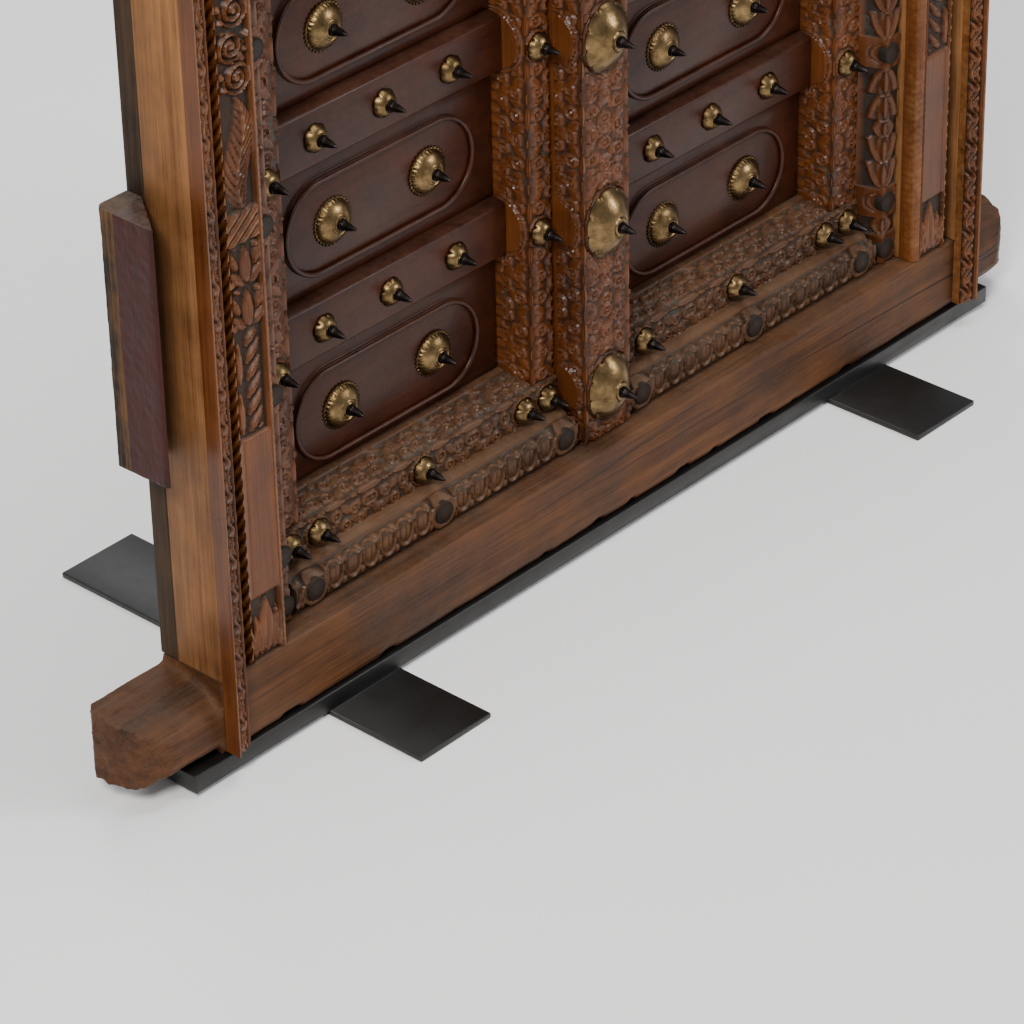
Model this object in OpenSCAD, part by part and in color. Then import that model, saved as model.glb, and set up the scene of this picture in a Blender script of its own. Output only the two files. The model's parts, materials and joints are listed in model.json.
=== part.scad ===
// Carved temple door: two studded leaves on wooden pivots, in a carved frame
// with horned sill and lintel, on a welded steel stand. Millimetres.
// X runs along the door, -Y is the carved front, Z is up.
// Origin: on the floor, in the middle of the doorway and of the stand's footprint.

/* [Doorway] */
// clear width between the two jambs
opening_w = 1284; // [1200:4:1480]
// rows of panels in each leaf
panel_rows = 6; // [3:1:6]
// height from one panel's middle to the next
row_pitch = 270; // [240:5:320]

/* [Frame] */
// width of a jamb seen from the front
jamb_w = 123; // [116:1:160]
// depth of the frame from its front arris to its back
frame_d = 134; // [126:1:170]
// width of the carved strip on the outer edge
strip_w = 30; // [24:1:36]
// how far the outer strip stands in front of the pilaster board
strip_proud = 24; // [14:1:30]
// drop of the outer strip's face towards the doorway
strip_cant = 11; // [4:1:13]
// width of the sunk groove between strip and pilaster
groove_w = 24; // [14:1:28]
// thickness of the pilaster board
pilaster_t = 30; // [22:1:34]
// radius of the round on the pilaster's inner edge
rope_r = 14; // [8:1:18]
// thickness of the weathered batten on the jamb's back
back_strip_t = 31; // [22:1:36]
// height of the sill
sill_h = 113; // [96:1:140]
// height of the lintel
lintel_h = 120; // [90:1:160]
// length of the horns that run past the jambs
horn_len = 140; // [80:1:170]
// length past the doorway of the ledge behind sill and lintel
ledge_over = 48; // [30:1:90]
// height lost from the top of a horn
horn_drop = 12; // [4:1:25]

/* [Wall anchors] */
// height of an anchor block
anchor_h = 356; // [250:1:420]
// how far an anchor stands out from the jamb
anchor_out = 55; // [40:1:80]
// depth of an anchor at its outer face
anchor_d = 98; // [70:1:110]
// depth of an anchor where it meets the jamb
anchor_neck = 28; // [18:1:50]
// height of an anchor's foot above the sill's top
anchor_z = 303; // [250:1:450]
// corner chamfer of an anchor
anchor_chamfer = 10; // [4:1:14]

/* [Leaves] */
// radius of the rounded hinge edge, which is half the post's thickness
hinge_r = 36; // [30:0.5:40]
// width of the hinge post
post_w = 96; // [88:1:120]
// width of the mullion that covers the meeting line
mullion_w = 94; // [84:1:110]
// thickness of the mullion in front of the posts
mullion_t = 49; // [40:1:56]
// part of the right meeting stile that shows past the mullion
stile_show = 51; // [44:1:64]
// height of a rail between two panels
rail_h = 84; // [70:1:92]
// height of the top and bottom rails
end_rail_h = 103; // [98:1:130]
// how far the posts stand in front of the panels
post_proud = 58; // [44:1:60]
// how far the rails stand in front of the panels
rail_proud = 17; // [8:1:22]
// how far the end rails' carved tier stands in front of the posts
tier_proud = 6; // [3:1:12]
// thickness of a panel
panel_t = 13; // [10:0.5:14]
// sloping margin around a panel
panel_margin = 16; // [8:1:20]
// fall of that margin
panel_fall = 5; // [2:0.5:6]
// half length of the raised oval field
field_l = 174; // [140:1:180]
// half height of the raised oval field
field_r = 67; // [50:1:68]
// thickness of the raised oval field
field_t = 4; // [1.5:0.5:5]

/* [Lotus battens] */
// width of the upright lotus batten
batten_w = 43; // [40:1:52]
// height of the lotus batten across the foot and head
foot_batten_h = 48; // [46:1:52]
// thickness of the lotus battens
batten_t = 42; // [30:1:46]
// setback of the battens behind the pilaster face
reveal_d = 34; // [24:1:40]
// run of the battens' carved slope
batten_slope = 12; // [6:1:14]
// diameter of the wooden pegs in the battens
peg_d = 32; // [24:1:34]
// depth of a peg in its batten
peg_depth = 12; // [6:1:18]
// how far a peg stands proud
peg_proud = 2; // [0.5:0.5:4]
// distance from a batten's outer edge to the middle of its pegs
peg_edge = 21; // [18:1:23]
// height between the pegs of an upright batten
peg_pitch = 236; // [180:1:300]
// height of the first of them above the leaf's foot
peg_first = 96; // [76:1:110]
// spacing of the pegs along the foot and head
peg_span = 241; // [200:1:250]

/* [Bosses and spikes] */
// diameter of the large brass bosses
boss_d = 69; // [56:1:76]
// height of the large bosses
boss_h = 18; // [12:0.5:24]
// spacing of the two large bosses on a panel
boss_span = 174; // [150:1:190]
// diameter of the small brass bosses
stud_d = 41; // [34:1:42]
// height of the small bosses
stud_h = 14; // [10:0.5:18]
// spacing of the three small bosses on a rail
stud_span = 123; // [100:1:140]
// spacing of the three small bosses on an end rail
end_stud_span = 197; // [160:1:200]
// height of the mullion's brass bosses
shield_h = 102; // [80:1:112]
// width of the mullion's brass bosses
shield_w = 84; // [70:1:90]
// how far they stand out
shield_t = 26; // [18:1:32]
// base diameter of the iron spikes
spike_d = 17; // [12:0.5:22]
// length of the iron spikes
spike_l = 26; // [16:1:34]

/* [Pivots] */
// radius of the wooden pivot pins
pivot_r = 14; // [10:0.5:18]
// length of a pin inside its socket
pivot_l = 24; // [16:1:40]
// running clearance around a pin
pivot_clear = 0.05; // [0.03:0.01:0.1]
// gap between a leaf's hinge edge and the jamb
side_gap = 4; // [3:0.5:8]
// gap above and below the leaves
end_gap = 4; // [3:0.5:8]
// gap where the two leaves meet
meeting_gap = 8; // [7:0.5:12]

/* [Stand] */
// thickness of the steel feet
foot_t = 8; // [6:1:12]
// width of a foot
foot_w = 131; // [100:1:180]
// reach of a foot in front of the sill
foot_front = 160; // [120:1:220]
// reach of a foot behind the frame
foot_back = 397; // [280:1:460]
// distance of a foot's middle from the door's middle
foot_x = 514; // [400:1:600]
// thickness of the bar under the sill
bar_t = 26; // [16:1:36]
// width of that bar
bar_w = 104; // [60:1:108]
// how far the bar runs past each jamb
bar_over = 56; // [0:1:80]

/* [Hidden] */
// across the door
jamb_x = opening_w / 2;                    // inner face of a jamb
outer_x = jamb_x + jamb_w;                 // outer face of a jamb
leaf_x = jamb_x - side_gap;                // a leaf's hinge edge
axis_x = leaf_x - hinge_r;                 // pivot axis
panel_x1 = leaf_x - post_w;                // a panel's outer edge
panel_x0 = mullion_w / 2 + stile_show;     // a panel's inner edge
mid_x = (panel_x0 + panel_x1) / 2;         // middle of a panel
meet_x = mullion_w / 2 + meeting_gap;      // left leaf's meeting edge
batten_x = leaf_x - batten_w;              // inner edge of an upright batten
groove_x = outer_x - strip_w - groove_w;
// from front to back, with the feet reaching as far either way
arris_y = -(strip_proud + frame_d + foot_back - foot_front) / 2;
face_y = arris_y + strip_proud;            // sill, lintel and pilaster face
back_y = arris_y + frame_d;
board_y = face_y + pilaster_t;             // bottom of the groove
batten_y = face_y + reveal_d;              // face of the lotus battens
post_y = batten_y + batten_t;              // face of the posts
leaf_back_y = post_y + 2 * hinge_r;
axis_y = post_y + hinge_r;
panel_y = post_y + post_proud;             // face of a panel
rail_y = panel_y - rail_proud;
tier_y = post_y - tier_proud;
mullion_y = post_y - mullion_t;
strip_back_y = back_y - back_strip_t;
// from the floor up
sill_z = foot_t + bar_t;
sill_top = sill_z + sill_h;
leaf_z = sill_top + end_gap;
end_z = 84;                                // end rail edge to the panel's middle
row_z = leaf_z + end_rail_h + end_z;       // middle of the lowest panel
leaf_h = 2 * (end_rail_h + end_z) + row_pitch * (panel_rows - 1);
leaf_top = leaf_z + leaf_h;
lintel_z = leaf_top + end_gap;
lintel_top = lintel_z + lintel_h;
anchor_bottom = sill_top + anchor_z;
strip_end = 10;                            // strips stop short of sill and lintel edges
tier_z = leaf_z + foot_batten_h;           // foot of the carved tier
stud_row = leaf_z + (foot_batten_h + end_rail_h) / 2 - 4;
boss_flat = spike_d / 2 + 1;               // flat seat under a spike
eps = 1;

rows = [for (i = [0 : panel_rows - 1]) i];
gaps = [for (i = [0 : panel_rows - 2]) i];
rail_levels = [for (i = gaps) row_z + row_pitch * (i + 0.5)];
stud_levels = concat([stud_row], rail_levels, [leaf_z + leaf_top - stud_row]);
peg_levels = concat([leaf_z + peg_edge],
    [for (z = [leaf_z + peg_first : peg_pitch : leaf_top - 2 * peg_d]) z],
    [leaf_top - peg_edge]);

frame_nodes = ["sill", "lintel", "left_jamb", "right_jamb", "left_back_strip",
    "right_back_strip", "left_pilaster", "right_pilaster", "left_outer_strip",
    "right_outer_strip", "left_anchor", "right_anchor", "stand"];
leaf_parts = ["hinge_post", "upright_batten", "bottom_rail", "top_rail",
    "foot_batten", "head_batten", "bosses", "studs", "spikes", "pegs"];

wood = [0.52, 0.33, 0.19];
wood_front = [0.56, 0.36, 0.20];
wood_red = [0.26, 0.13, 0.10];
wood_grey = [0.38, 0.32, 0.28];
brass = [0.62, 0.52, 0.28];
iron = [0.16, 0.14, 0.15];
steel = [0.10, 0.10, 0.11];

// a block between two corners
module block(a, b) {
    translate(a) cube(b - a);
}

// extrude a section drawn in Y and Z along X, from x0 to x1
module along_x(x0, x1) {
    translate([x0, 0, 0]) rotate([90, 0, 90]) linear_extrude(x1 - x0) children();
}

// draw for the right side, or mirrored for the left one
module side(s) {
    if (s < 0) mirror([1, 0, 0]) children();
    else children();
}

// ---------- frame ----------

// rounded, sloping horn of a beam that lies from z0 to z1
module horn(z0, z1) {
    h = z1 - z0 - horn_drop;
    x1 = outer_x + horn_len;
    intersection() {
        translate([0, 0, z0 - eps]) linear_extrude(z1 - z0 + 2 * eps) polygon([
            [outer_x, back_y], [x1 - 12, back_y], [x1, back_y - 16], [x1, face_y + 66],
            [x1 - 17, face_y + 24], [x1 - 52, face_y + 4], [outer_x, face_y + 2]]);
        along_x(outer_x, x1) polygon([
            [back_y, z0 + 8], [back_y - 10, z0], [face_y + 34, z0],
            [face_y + 8, z0 + 14], [face_y, z0 + 0.34 * h], [face_y + 4, z0 + 0.62 * h],
            [face_y + 30, z0 + 0.9 * h], [back_y - 30, z0 + h], [back_y, z0 + h]]);
    }
}

// beam with its horns, and the ledge behind it that carries the leaves' pivots
module beam(z0, z1, worn) {
    over = jamb_x + ledge_over;
    difference() {
        union() {
            along_x(-outer_x, outer_x) polygon([[face_y, z0 + worn],
                [face_y + 0.7 * worn, z0], [back_y, z0], [back_y, z1], [face_y, z1]]);
            block([-over, back_y - eps, z0], [over, leaf_back_y, z1]);
            for (s = [-1, 1]) side(s) horn(z0, z1);
        }
        children();
    }
}

module sill() {
    color(wood) beam(sill_z, sill_top, 12)
        for (s = [-1, 1])
            translate([s * axis_x, axis_y, sill_top - pivot_l])
                cylinder(r = pivot_r + pivot_clear, h = pivot_l + eps, $fn = 64);
}

module lintel() {
    color(wood) beam(lintel_z, lintel_top, 3)
        for (s = [-1, 1])
            translate([s * axis_x, axis_y, lintel_z - eps])
                cylinder(r = pivot_r + pivot_clear, h = pivot_l + eps, $fn = 64);
}

module jamb() {
    color(wood) translate([0, 0, sill_top]) linear_extrude(lintel_z - sill_top)
        polygon([[jamb_x, board_y], [outer_x - strip_w, board_y],
            [outer_x - strip_w, face_y], [outer_x, face_y],
            [outer_x, strip_back_y], [jamb_x, strip_back_y]]);
}

module back_strip() {
    color(wood_grey)
        block([jamb_x, strip_back_y, sill_top], [outer_x, back_y, lintel_z]);
}

// pilaster board with the rounded edge that carries the rope carving
module pilaster() {
    color(wood_front) translate([0, 0, sill_top])
        linear_extrude(lintel_z - sill_top) union() {
            translate([jamb_x + rope_r, face_y])
                square([groove_x - jamb_x - rope_r, pilaster_t]);
            translate([jamb_x, face_y + rope_r])
                square([rope_r, pilaster_t - rope_r]);
            intersection() {
                translate([jamb_x + rope_r, face_y + rope_r]) circle(r = rope_r, $fn = 48);
                translate([jamb_x, face_y]) square([rope_r + eps, rope_r + eps]);
            }
        }
}

module outer_strip() {
    color(wood_front) translate([0, 0, sill_z + strip_end])
        linear_extrude(lintel_top - sill_z - 2 * strip_end)
            polygon([[outer_x - strip_w, face_y], [outer_x - strip_w, arris_y + strip_cant],
                [outer_x - 3, arris_y], [outer_x, arris_y], [outer_x, face_y]]);
}

module anchor() {
    x1 = outer_x + anchor_out;
    c = anchor_chamfer;
    color(wood_red) translate([0, 0, anchor_bottom]) linear_extrude(anchor_h)
        polygon([[outer_x, back_y], [x1 - c, back_y], [x1, back_y - c],
            [x1, back_y - anchor_d + c / 2], [x1 - c / 2, back_y - anchor_d],
            [outer_x, back_y - anchor_neck]]);
}

module stand() {
    color(steel) union() {
        block([-outer_x - bar_over, face_y, foot_t],
            [outer_x + bar_over, face_y + bar_w, sill_z]);
        for (s = [-1, 1])
            translate([s * foot_x - foot_w / 2, face_y - foot_front, 0])
                cube([foot_w, foot_front + back_y - face_y + foot_back, foot_t]);
    }
}

// ---------- leaves ----------

// hinge post with its rounded edge and a turned pivot pin at each end
module hinge_post() {
    color(wood) union() {
        translate([0, 0, leaf_z]) linear_extrude(leaf_h) union() {
            translate([panel_x1, post_y]) square([post_w - hinge_r, 2 * hinge_r]);
            translate([axis_x, post_y]) square([hinge_r, hinge_r]);
            translate([axis_x, axis_y]) circle(r = hinge_r, $fn = 64);
        }
        translate([axis_x, axis_y, leaf_z - end_gap - pivot_l])
            cylinder(r = pivot_r, h = end_gap + pivot_l + eps, $fn = 64);
        translate([axis_x, axis_y, leaf_top - eps])
            cylinder(r = pivot_r, h = end_gap + pivot_l + eps, $fn = 64);
    }
}

module left_meeting_post() {
    color(wood) block([-panel_x0, post_y, leaf_z], [-meet_x, leaf_back_y, leaf_top]);
}

module right_meeting_stile() {
    color(wood)
        block([-mullion_w / 2, post_y, leaf_z], [panel_x0, leaf_back_y, leaf_top]);
}

module mullion() {
    r = 4;
    w = mullion_w / 2;
    color(wood_front) translate([0, 0, leaf_z]) linear_extrude(leaf_h)
        polygon([[-w, post_y], [-w, mullion_y + r], [-w + r, mullion_y],
            [w - r, mullion_y], [w, mullion_y + r], [w, post_y]]);
}

// peg holes and pegs of one leaf's battens
module peg_row(x, levels, y0, y1, r) {
    for (z = levels) translate([x, y0, z]) rotate([-90, 0, 0])
        cylinder(r = r, h = y1 - y0, $fn = 48);
}

foot_peg_x = [for (i = [-1 : 1]) mid_x + i * peg_span];

module upright_batten() {
    s = batten_slope;
    color(wood_front) difference() {
        translate([0, 0, leaf_z]) linear_extrude(leaf_h) polygon([
            [batten_x, post_y], [batten_x, post_y - 0.3 * batten_t],
            [batten_x + s, batten_y], [leaf_x, batten_y], [leaf_x, post_y]]);
        peg_row(leaf_x - peg_edge, peg_levels, batten_y - eps,
            batten_y + peg_depth, peg_d / 2);
    }
}

// lotus batten across the foot, or turned over for the head, from x0 outwards
module cross_batten(x0, up) {
    h = foot_batten_h;
    z = up ? leaf_z : leaf_top;
    k = up ? 1 : -1;
    color(wood_front) difference() {
        along_x(x0, batten_x) polygon([
            [post_y, z], [batten_y, z], [batten_y, z + k * (h - batten_slope)],
            [post_y - 0.3 * batten_t, z + k * h], [post_y, z + k * h]]);
        for (x = foot_peg_x) if (x - peg_d / 2 > x0)
            peg_row(x, [z + k * peg_edge], batten_y - eps, batten_y + peg_depth, peg_d / 2);
    }
}

// end rail: the carved tier laps over both posts, its tongue sits between them
module end_rail(x0, up) {
    z = up ? leaf_z : leaf_top;
    k = up ? 1 : -1;
    color(wood) union() {
        along_x(panel_x0, panel_x1) polygon([
            [post_y, z], [leaf_back_y, z], [leaf_back_y, z + k * end_rail_h],
            [panel_y - 6, z + k * end_rail_h], [post_y, z + k * (end_rail_h - 5)]]);
        along_x(x0, batten_x) polygon([
            [post_y, z + k * foot_batten_h], [tier_y, z + k * foot_batten_h],
            [tier_y, z + k * (end_rail_h - 9)], [post_y, z + k * (end_rail_h - 5)]]);
    }
}

module rail(i) {
    c = 4;
    z = rail_levels[i];
    h = rail_h / 2;
    color(wood_red) along_x(panel_x0, panel_x1) polygon([
        [leaf_back_y - 3, z - h], [leaf_back_y - 3, z + h], [panel_y, z + h],
        [rail_y, z + h - c], [rail_y, z - h + c], [panel_y, z - h]]);
}

// raised panel: sloping margins and an oval field
module panel(i) {
    lo = i == 0 ? row_z - end_z : row_z + row_pitch * (i - 0.5) + rail_h / 2;
    hi = i == panel_rows - 1 ? row_z + row_pitch * i + end_z
        : row_z + row_pitch * (i + 0.5) - rail_h / 2;
    m = panel_margin;
    edge_y = panel_y + panel_fall;
    rear_y = panel_y + panel_t;
    color(wood_red) union() {
        intersection() {
            along_x(panel_x0, panel_x1) polygon([[rear_y, lo], [rear_y, hi],
                [edge_y, hi], [panel_y, hi - m], [panel_y, lo + m], [edge_y, lo]]);
            translate([0, 0, lo]) linear_extrude(hi - lo) polygon([
                [panel_x0, rear_y], [panel_x0, edge_y], [panel_x0 + m, panel_y],
                [panel_x1 - m, panel_y], [panel_x1, edge_y], [panel_x1, rear_y]]);
        }
        translate([mid_x, panel_y - field_t, row_z + row_pitch * i])
            rotate([-90, 0, 0]) linear_extrude(field_t) union() {
                square([2 * (field_l - field_r), 2 * field_r], center = true);
                for (s = [-1, 1]) translate([s * (field_l - field_r), 0])
                    circle(r = field_r, $fn = 48);
            }
    }
}

// ---------- brass and iron ----------

// round brass boss that faces the front, on a face at y, flat where its spike sits
module boss(x, y, z, d, h) {
    translate([x, y, z]) rotate([90, 0, 0]) rotate_extrude($fn = 24)
        polygon([[0, 0], [d / 2, 0], [d / 2, 1.5], [0.36 * d, 0.72 * h],
            [boss_flat, h], [0, h]]);
}

// iron spike: a collar and a blunt point
module spike(x, y, z) {
    r = spike_d / 2;
    translate([x, y, z]) rotate([90, 0, 0]) rotate_extrude($fn = 24)
        polygon([[0, 0], [r, 0], [0.82 * r, 0.35 * spike_l], [0, spike_l]]);
}

boss_x = [mid_x - boss_span / 2, mid_x + boss_span / 2];
boss_y = panel_y - field_t;
rail_stud_x = [for (i = [-1 : 1]) mid_x + i * stud_span];
end_stud_x = [for (i = [-1 : 1]) mid_x + i * end_stud_span];
post_stud_x = (panel_x1 + batten_x) / 2;
meeting_stud_x = (panel_x0 + meet_x) / 2;
end_rows = [stud_levels[0], stud_levels[len(stud_levels) - 1]];
meeting_levels = rail_levels;

// places of one leaf's small bosses, as [x, y, z]
function stud_places(left) = concat(
    [for (z = rail_levels) for (x = rail_stud_x) [x, rail_y, z]],
    [for (z = end_rows) for (x = end_stud_x) [x, tier_y, z]],
    [for (z = end_rows) [post_stud_x, tier_y, z]],
    [for (z = rail_levels) [post_stud_x, post_y, z]],
    left ? [for (z = rail_levels) [meeting_stud_x, post_y, z]] : [],
    left ? [for (z = end_rows) [meeting_stud_x, tier_y, z]] : []);

module bosses() {
    color(brass) for (i = rows) for (x = boss_x)
        boss(x, boss_y, row_z + row_pitch * i, boss_d, boss_h);
}

module studs(left) {
    color(brass) for (p = stud_places(left)) boss(p[0], p[1], p[2], stud_d, stud_h);
}

module spikes(left) {
    color(iron) {
        for (i = rows) for (x = boss_x)
            spike(x, boss_y - boss_h, row_z + row_pitch * i);
        for (p = stud_places(left)) spike(p[0], p[1] - stud_h, p[2]);
        if (!left) for (z = stud_levels) spike(0, mullion_y - shield_t, z);
    }
}

module pegs(left) {
    x0 = left ? meet_x : mullion_w / 2;
    y0 = batten_y - peg_proud;
    y1 = batten_y + peg_depth;
    color(wood_grey) {
        peg_row(leaf_x - peg_edge, peg_levels, y0, y1, peg_d / 2);
        for (x = foot_peg_x) if (x - peg_d / 2 > x0)
            peg_row(x, [leaf_z + peg_edge, leaf_top - peg_edge], y0, y1, peg_d / 2);
    }
}

// upright oval shield, domed, with a flat seat for its spike
module mullion_bosses() {
    w = shield_w / 2;
    h = shield_h / 2 - w;
    color(brass) for (z = stud_levels)
        translate([0, mullion_y, z]) rotate([90, 0, 0]) union() {
            for (k = [-1, 1]) translate([0, k * h, 0]) rotate_extrude($fn = 32)
                polygon([[0, 0], [w, 0], [w, 3], [0.72 * w, 0.7 * shield_t],
                    [0.3 * w, shield_t], [0, shield_t]]);
            rotate([90, 0, 0]) linear_extrude(2 * h, center = true)
                polygon([[-w, 0], [w, 0], [w, 3], [0.72 * w, 0.7 * shield_t],
                    [0.3 * w, shield_t], [-0.3 * w, shield_t],
                    [-0.72 * w, 0.7 * shield_t], [-w, 3]]);
        }
}

sill();
lintel();
side(-1) jamb();  // left_jamb
jamb();  // right_jamb
side(-1) back_strip();  // left_back_strip
back_strip();  // right_back_strip
side(-1) pilaster();  // left_pilaster
pilaster();  // right_pilaster
side(-1) outer_strip();  // left_outer_strip
outer_strip();  // right_outer_strip
side(-1) anchor();  // left_anchor
anchor();  // right_anchor
stand();
left_meeting_post();
right_meeting_stile();
mullion();
mullion_bosses();
side(-1) hinge_post();  // left_hinge_post
hinge_post();  // right_hinge_post
side(-1) upright_batten();  // left_upright_batten
upright_batten();  // right_upright_batten
side(-1) end_rail(meet_x, true);  // left_bottom_rail
end_rail(mullion_w / 2, true);  // right_bottom_rail
side(-1) end_rail(meet_x, false);  // left_top_rail
end_rail(mullion_w / 2, false);  // right_top_rail
side(-1) cross_batten(meet_x, true);  // left_foot_batten
cross_batten(mullion_w / 2, true);  // right_foot_batten
side(-1) cross_batten(meet_x, false);  // left_head_batten
cross_batten(mullion_w / 2, false);  // right_head_batten
side(-1) bosses();  // left_bosses
bosses();  // right_bosses
side(-1) studs(true);  // left_studs
studs(false);  // right_studs
side(-1) spikes(true);  // left_spikes
spikes(false);  // right_spikes
side(-1) pegs(true);  // left_pegs
pegs(false);  // right_pegs
for (i = rows) side(-1) panel(i);
for (i = rows) panel(i);
for (i = gaps) side(-1) rail(i);
for (i = gaps) rail(i);
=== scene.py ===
# %% [markdown]
# # A carved temple door
# Two leaves of framed panels turn on wooden pivots in a carved frame with a horned sill and lintel.
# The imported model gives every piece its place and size, so it is loaded first and never changed.
# Plain stock is rebuilt here as carved or worn wood, the bosses as beaten brass, and every piece
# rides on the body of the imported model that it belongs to.

# %% Load the frame
import json
import math

import bpy
import numpy as np
from mathutils import Matrix, Vector

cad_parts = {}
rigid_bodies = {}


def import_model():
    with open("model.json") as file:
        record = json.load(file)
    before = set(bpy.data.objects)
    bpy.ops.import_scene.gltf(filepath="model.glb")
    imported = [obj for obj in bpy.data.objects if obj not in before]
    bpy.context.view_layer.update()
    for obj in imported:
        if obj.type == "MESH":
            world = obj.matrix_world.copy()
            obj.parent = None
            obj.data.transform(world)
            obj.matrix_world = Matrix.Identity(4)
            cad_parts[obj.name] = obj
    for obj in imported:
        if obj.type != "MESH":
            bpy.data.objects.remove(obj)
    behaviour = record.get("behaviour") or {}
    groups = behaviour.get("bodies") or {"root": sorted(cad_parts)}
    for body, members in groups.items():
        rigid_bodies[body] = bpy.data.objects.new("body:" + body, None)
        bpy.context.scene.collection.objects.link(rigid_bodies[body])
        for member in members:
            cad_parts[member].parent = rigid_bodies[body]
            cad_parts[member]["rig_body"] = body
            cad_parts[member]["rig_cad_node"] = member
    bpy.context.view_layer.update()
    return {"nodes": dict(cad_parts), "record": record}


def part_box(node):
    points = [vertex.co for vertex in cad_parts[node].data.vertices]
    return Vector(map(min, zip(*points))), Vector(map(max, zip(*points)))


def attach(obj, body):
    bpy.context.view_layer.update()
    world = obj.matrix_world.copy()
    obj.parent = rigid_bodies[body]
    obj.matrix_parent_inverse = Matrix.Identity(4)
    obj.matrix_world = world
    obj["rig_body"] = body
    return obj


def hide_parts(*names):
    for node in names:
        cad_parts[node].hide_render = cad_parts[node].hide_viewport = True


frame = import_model()
bodies = frame["record"]["behaviour"]["bodies"]
body_of = {node: body for body, nodes in bodies.items() for node in nodes}

# %% [markdown]
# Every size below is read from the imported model: the faces of the posts, the levels of the rails
# and the planes that the carving is cut back from. Typing them in again would be quicker, but then
# the carving would miss its stock as soon as one size of the model changed.

# %% Read the frame's sizes
MM = 0.001


def low(node):
    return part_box(node)[0]


def high(node):
    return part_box(node)[1]


sill_top = low("left_jamb").z
lintel_foot = high("left_jamb").z
leaf_foot, leaf_head = low("mullion").z, high("mullion").z
jamb_x, outer_x = low("right_jamb").x, high("right_jamb").x
face_y = low("right_pilaster").y
board_y = high("right_pilaster").y
groove_x = high("right_pilaster").x
print("doorway half", round(jamb_x, 3), "from", round(sill_top, 3), "to", round(lintel_foot, 3))

# %% Read the leaves' sizes
batten_x, leaf_x = low("right_upright_batten").x, high("right_upright_batten").x
batten_y, post_y = low("right_upright_batten").y, high("right_upright_batten").y
leaf_back = high("right_hinge_post").y
panel_x0, panel_x1 = low("right_panel_1").x, high("right_panel_1").x
panel_edge_y = low("right_panel_1").y
half_mullion = high("mullion").x
mullion_y = low("mullion").y
meet_x = -high("left_meeting_post").x
tier_y = low("right_bottom_rail").y
rail_names = sorted(n for n in body_of if n.startswith("right_rail_"))
rail_levels = [(low(n).z + high(n).z) / 2 for n in rail_names]
print("leaf", round(leaf_head - leaf_foot, 3), "high, rails at", [round(z, 3) for z in rail_levels])

# %% [markdown]
# ## Wood
# Old wood shows three things at once: fine fibres along the grain, slow bands of darker and lighter
# growth, and stains that ignore the grain. One node group makes all three from a stretched
# coordinate, so every wooden piece shares it and only the colours and the grain direction differ.


# %% Small helpers for node trees
def link(tree, a, b):
    tree.links.new(a, b)


def add_node(tree, kind, at=(0, 0), **values):
    node = tree.nodes.new(kind)
    node.location = at
    for key, value in values.items():
        if hasattr(node, key):
            setattr(node, key, value)
        else:
            node.inputs[key].default_value = value
    return node


def new_group(name, takes, gives):
    group = bpy.data.node_groups.new(name, "ShaderNodeTree")
    kinds = {"f": "NodeSocketFloat", "c": "NodeSocketColor", "v": "NodeSocketVector"}
    for label, kind, value in takes:
        socket = group.interface.new_socket(label, in_out="INPUT", socket_type=kinds[kind])
        if value is not None:
            socket.default_value = value
    for label, kind in gives:
        group.interface.new_socket(label, in_out="OUTPUT", socket_type=kinds[kind])
    start = group.nodes.new("NodeGroupInput")
    end = group.nodes.new("NodeGroupOutput")
    start.location, end.location = (-900, 0), (900, 0)
    return group, start.outputs, end.inputs


def feed(tree, socket, value):
    """Sets a socket to a number or colour, or links it to another socket."""
    if isinstance(value, (int, float, tuple)):
        socket.default_value = value
    else:
        link(tree, value, socket)


print("helpers for nodes and groups ready")


# %% Sums, mixes and steps in a node tree
def maths(tree, operation, a, b=None, clamp=False):
    node = tree.nodes.new("ShaderNodeMath")
    node.operation, node.use_clamp = operation, clamp
    feed(tree, node.inputs[0], a)
    if b is not None:
        feed(tree, node.inputs[1], b)
    return node.outputs[0]


def blend_colour(tree, factor, a, b, mode="MIX"):
    node = tree.nodes.new("ShaderNodeMix")
    node.data_type, node.blend_type = "RGBA", mode
    for name, value in (("Factor_Float", factor), ("A_Color", a), ("B_Color", b)):
        feed(tree, next(s for s in node.inputs if s.identifier == name), value)
    return next(s for s in node.outputs if s.identifier == "Result_Color")


def steps(tree, value, low_at, high_at):
    """0 below low_at, 1 above high_at, and a straight rise between."""
    node = tree.nodes.new("ShaderNodeMapRange")
    node.inputs["From Min"].default_value = low_at
    node.inputs["From Max"].default_value = high_at
    link(tree, value, node.inputs["Value"])
    return node.outputs["Result"]


def noise(tree, vector, scale, detail, rough):
    node = add_node(tree, "ShaderNodeTexNoise", Detail=detail, Roughness=rough)
    feed(tree, node.inputs["Scale"], scale)
    link(tree, vector, node.inputs["Vector"])
    return node.outputs["Fac"]


print("helpers for values ready")


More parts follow.
